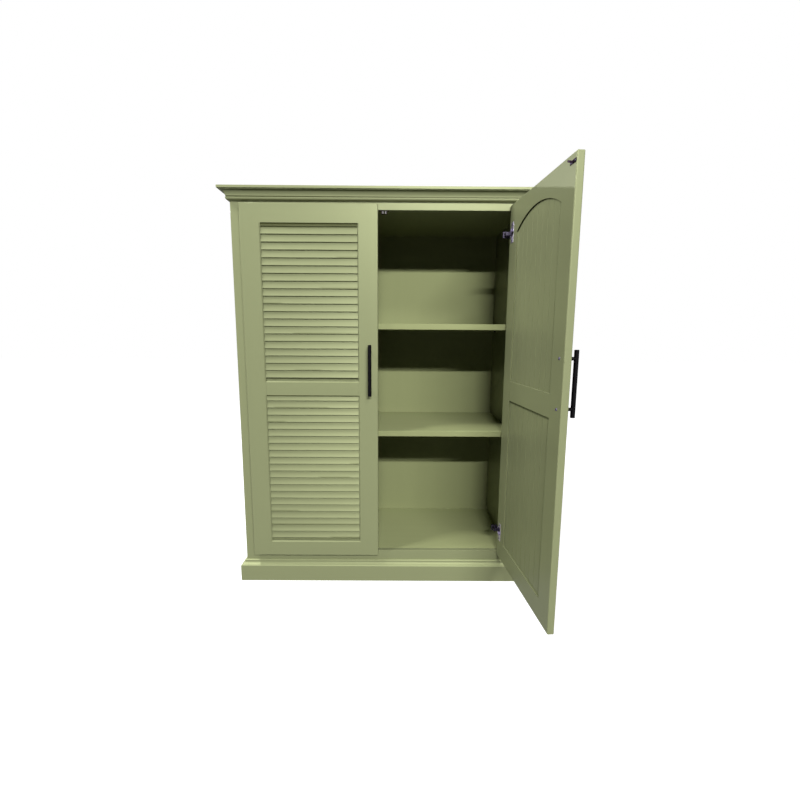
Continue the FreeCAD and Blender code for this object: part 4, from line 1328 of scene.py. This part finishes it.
def make_lamp(name, power, place, target, length, width):
    """A long ceiling lamp that faces a target."""
    data = bpy.data.lights.new(name, "AREA")
    data.shape = "RECTANGLE"
    data.size, data.size_y = length, width
    data.energy = power
    ahead = (Vector(target) - Vector(place)).normalized()
    sideways = ahead.cross(Vector((0, 0, 1))).normalized()
    turn = framed(sideways, sideways.cross(ahead), ahead)
    in_scene(name, data).matrix_world = Matrix.Translation(place) @ turn


def seen_directly(tree):
    """1 for rays from the camera and for refracted ones, less for mirrored ones, else 0."""
    path = add(tree, "ShaderNodeLightPath")
    mirrored = times(tree, path["Is Glossy Ray"], MIRRORED_SHARE)
    direct = maths(tree, "MAXIMUM", path["Is Camera Ray"], mirrored)
    return maths(tree, "MAXIMUM", direct, path["Is Transmission Ray"])


def make_world():
    """A white surround that is seen but lights nothing."""
    world = bpy.data.worlds.new("studio")
    bpy.context.scene.world = world
    world.use_nodes = True
    tree = world.node_tree
    feed(tree, tree.nodes["Background"], [("Color", WHITE), ("Strength", seen_directly(tree))])


def make_floor():
    """A wide pale floor that shows the shadow and throws little light back."""
    bm = bmesh.new()
    bmesh.ops.create_grid(bm, x_segments=FLOOR_CELLS, y_segments=FLOOR_CELLS, size=FLOOR_HALF)
    mesh = bpy.data.meshes.new("floor")
    bm.to_mesh(mesh)
    bm.free()
    obj = in_scene("floor", mesh)
    obj.location.z = -FLOOR_DROP
    material, tree, shader = material_start("floor_pale")
    seen = seen_directly(tree)
    shade = spread(tree, seen, 0, 1, FLOOR_UNSEEN, FLOOR_SEEN)
    place = add(tree, "ShaderNodeTexCoord")["Object"]
    away = add(tree, "ShaderNodeVectorMath", [(0, place)], operation="LENGTH")["Value"]
    glow = spread(tree, away, *GLOW_SPAN, GLOW_NEAR, 1.0)
    pale = result(tree, "ShaderNodeCombineColor", [(0, shade), (1, shade), (2, shade)])
    feed(tree, shader, [("Base Color", pale), ("Roughness", 0.9), ("Specular IOR Level", 0.1),
                        ("Emission Color", WHITE),
                        ("Emission Strength", times(tree, seen, glow))])
    mesh.materials.append(material)


class CABINET_OT_stage(Operation, bpy.types.Operator):
    """Set the floor, the lamps and the camera"""
    bl_idname = "cabinet.stage"
    bl_label = "Stage"

    def execute(self, context):
        context.scene.view_settings.view_transform = "Standard"
        make_camera()
        make_world()
        make_floor()
        for name, lamp in LAMPS.items():
            make_lamp(name, getattr(settings("cabinet_stage"), name), *lamp)
        return {"FINISHED"}


# ---------------------------------------------------------------- panel and registration

OPERATORS = [CABINET_OT_carcass, CABINET_OT_mouldings, CABINET_OT_doors, CABINET_OT_louvres,
             CABINET_OT_handles, CABINET_OT_hinges, CABINET_OT_catches, CABINET_OT_screws,
             CABINET_OT_stage]


class CABINET_PT_panel(bpy.types.Panel):
    """Everything that builds the cabinet's looks"""
    bl_idname = "CABINET_PT_panel"
    bl_label = "Louvred door cabinet"
    bl_space_type = "VIEW_3D"
    bl_region_type = "UI"
    bl_category = "Cabinet"

    def draw(self, context):
        layout = self.layout
        for name, kind in SETTINGS.items():
            box = layout.box()
            box.label(text=name.replace("_", " ").capitalize())
            for prop in kind.__annotations__:
                box.prop(getattr(context.scene, name), prop)
        for operator in OPERATORS:
            layout.operator(operator.bl_idname)


CLASSES = [*SETTINGS.values(), *OPERATORS, CABINET_PT_panel]


def register():
    for cls in CLASSES:
        bpy.utils.register_class(cls)
    for name, kind in SETTINGS.items():
        setattr(bpy.types.Scene, name, PointerProperty(type=kind))


def unregister():
    for name in SETTINGS:
        delattr(bpy.types.Scene, name)
    for cls in reversed(CLASSES):
        bpy.utils.unregister_class(cls)


def main():
    register()
    for operator in OPERATORS:
        getattr(bpy.ops.cabinet, operator.bl_idname.split(".")[1])()


if __name__ == "__main__":
    main()
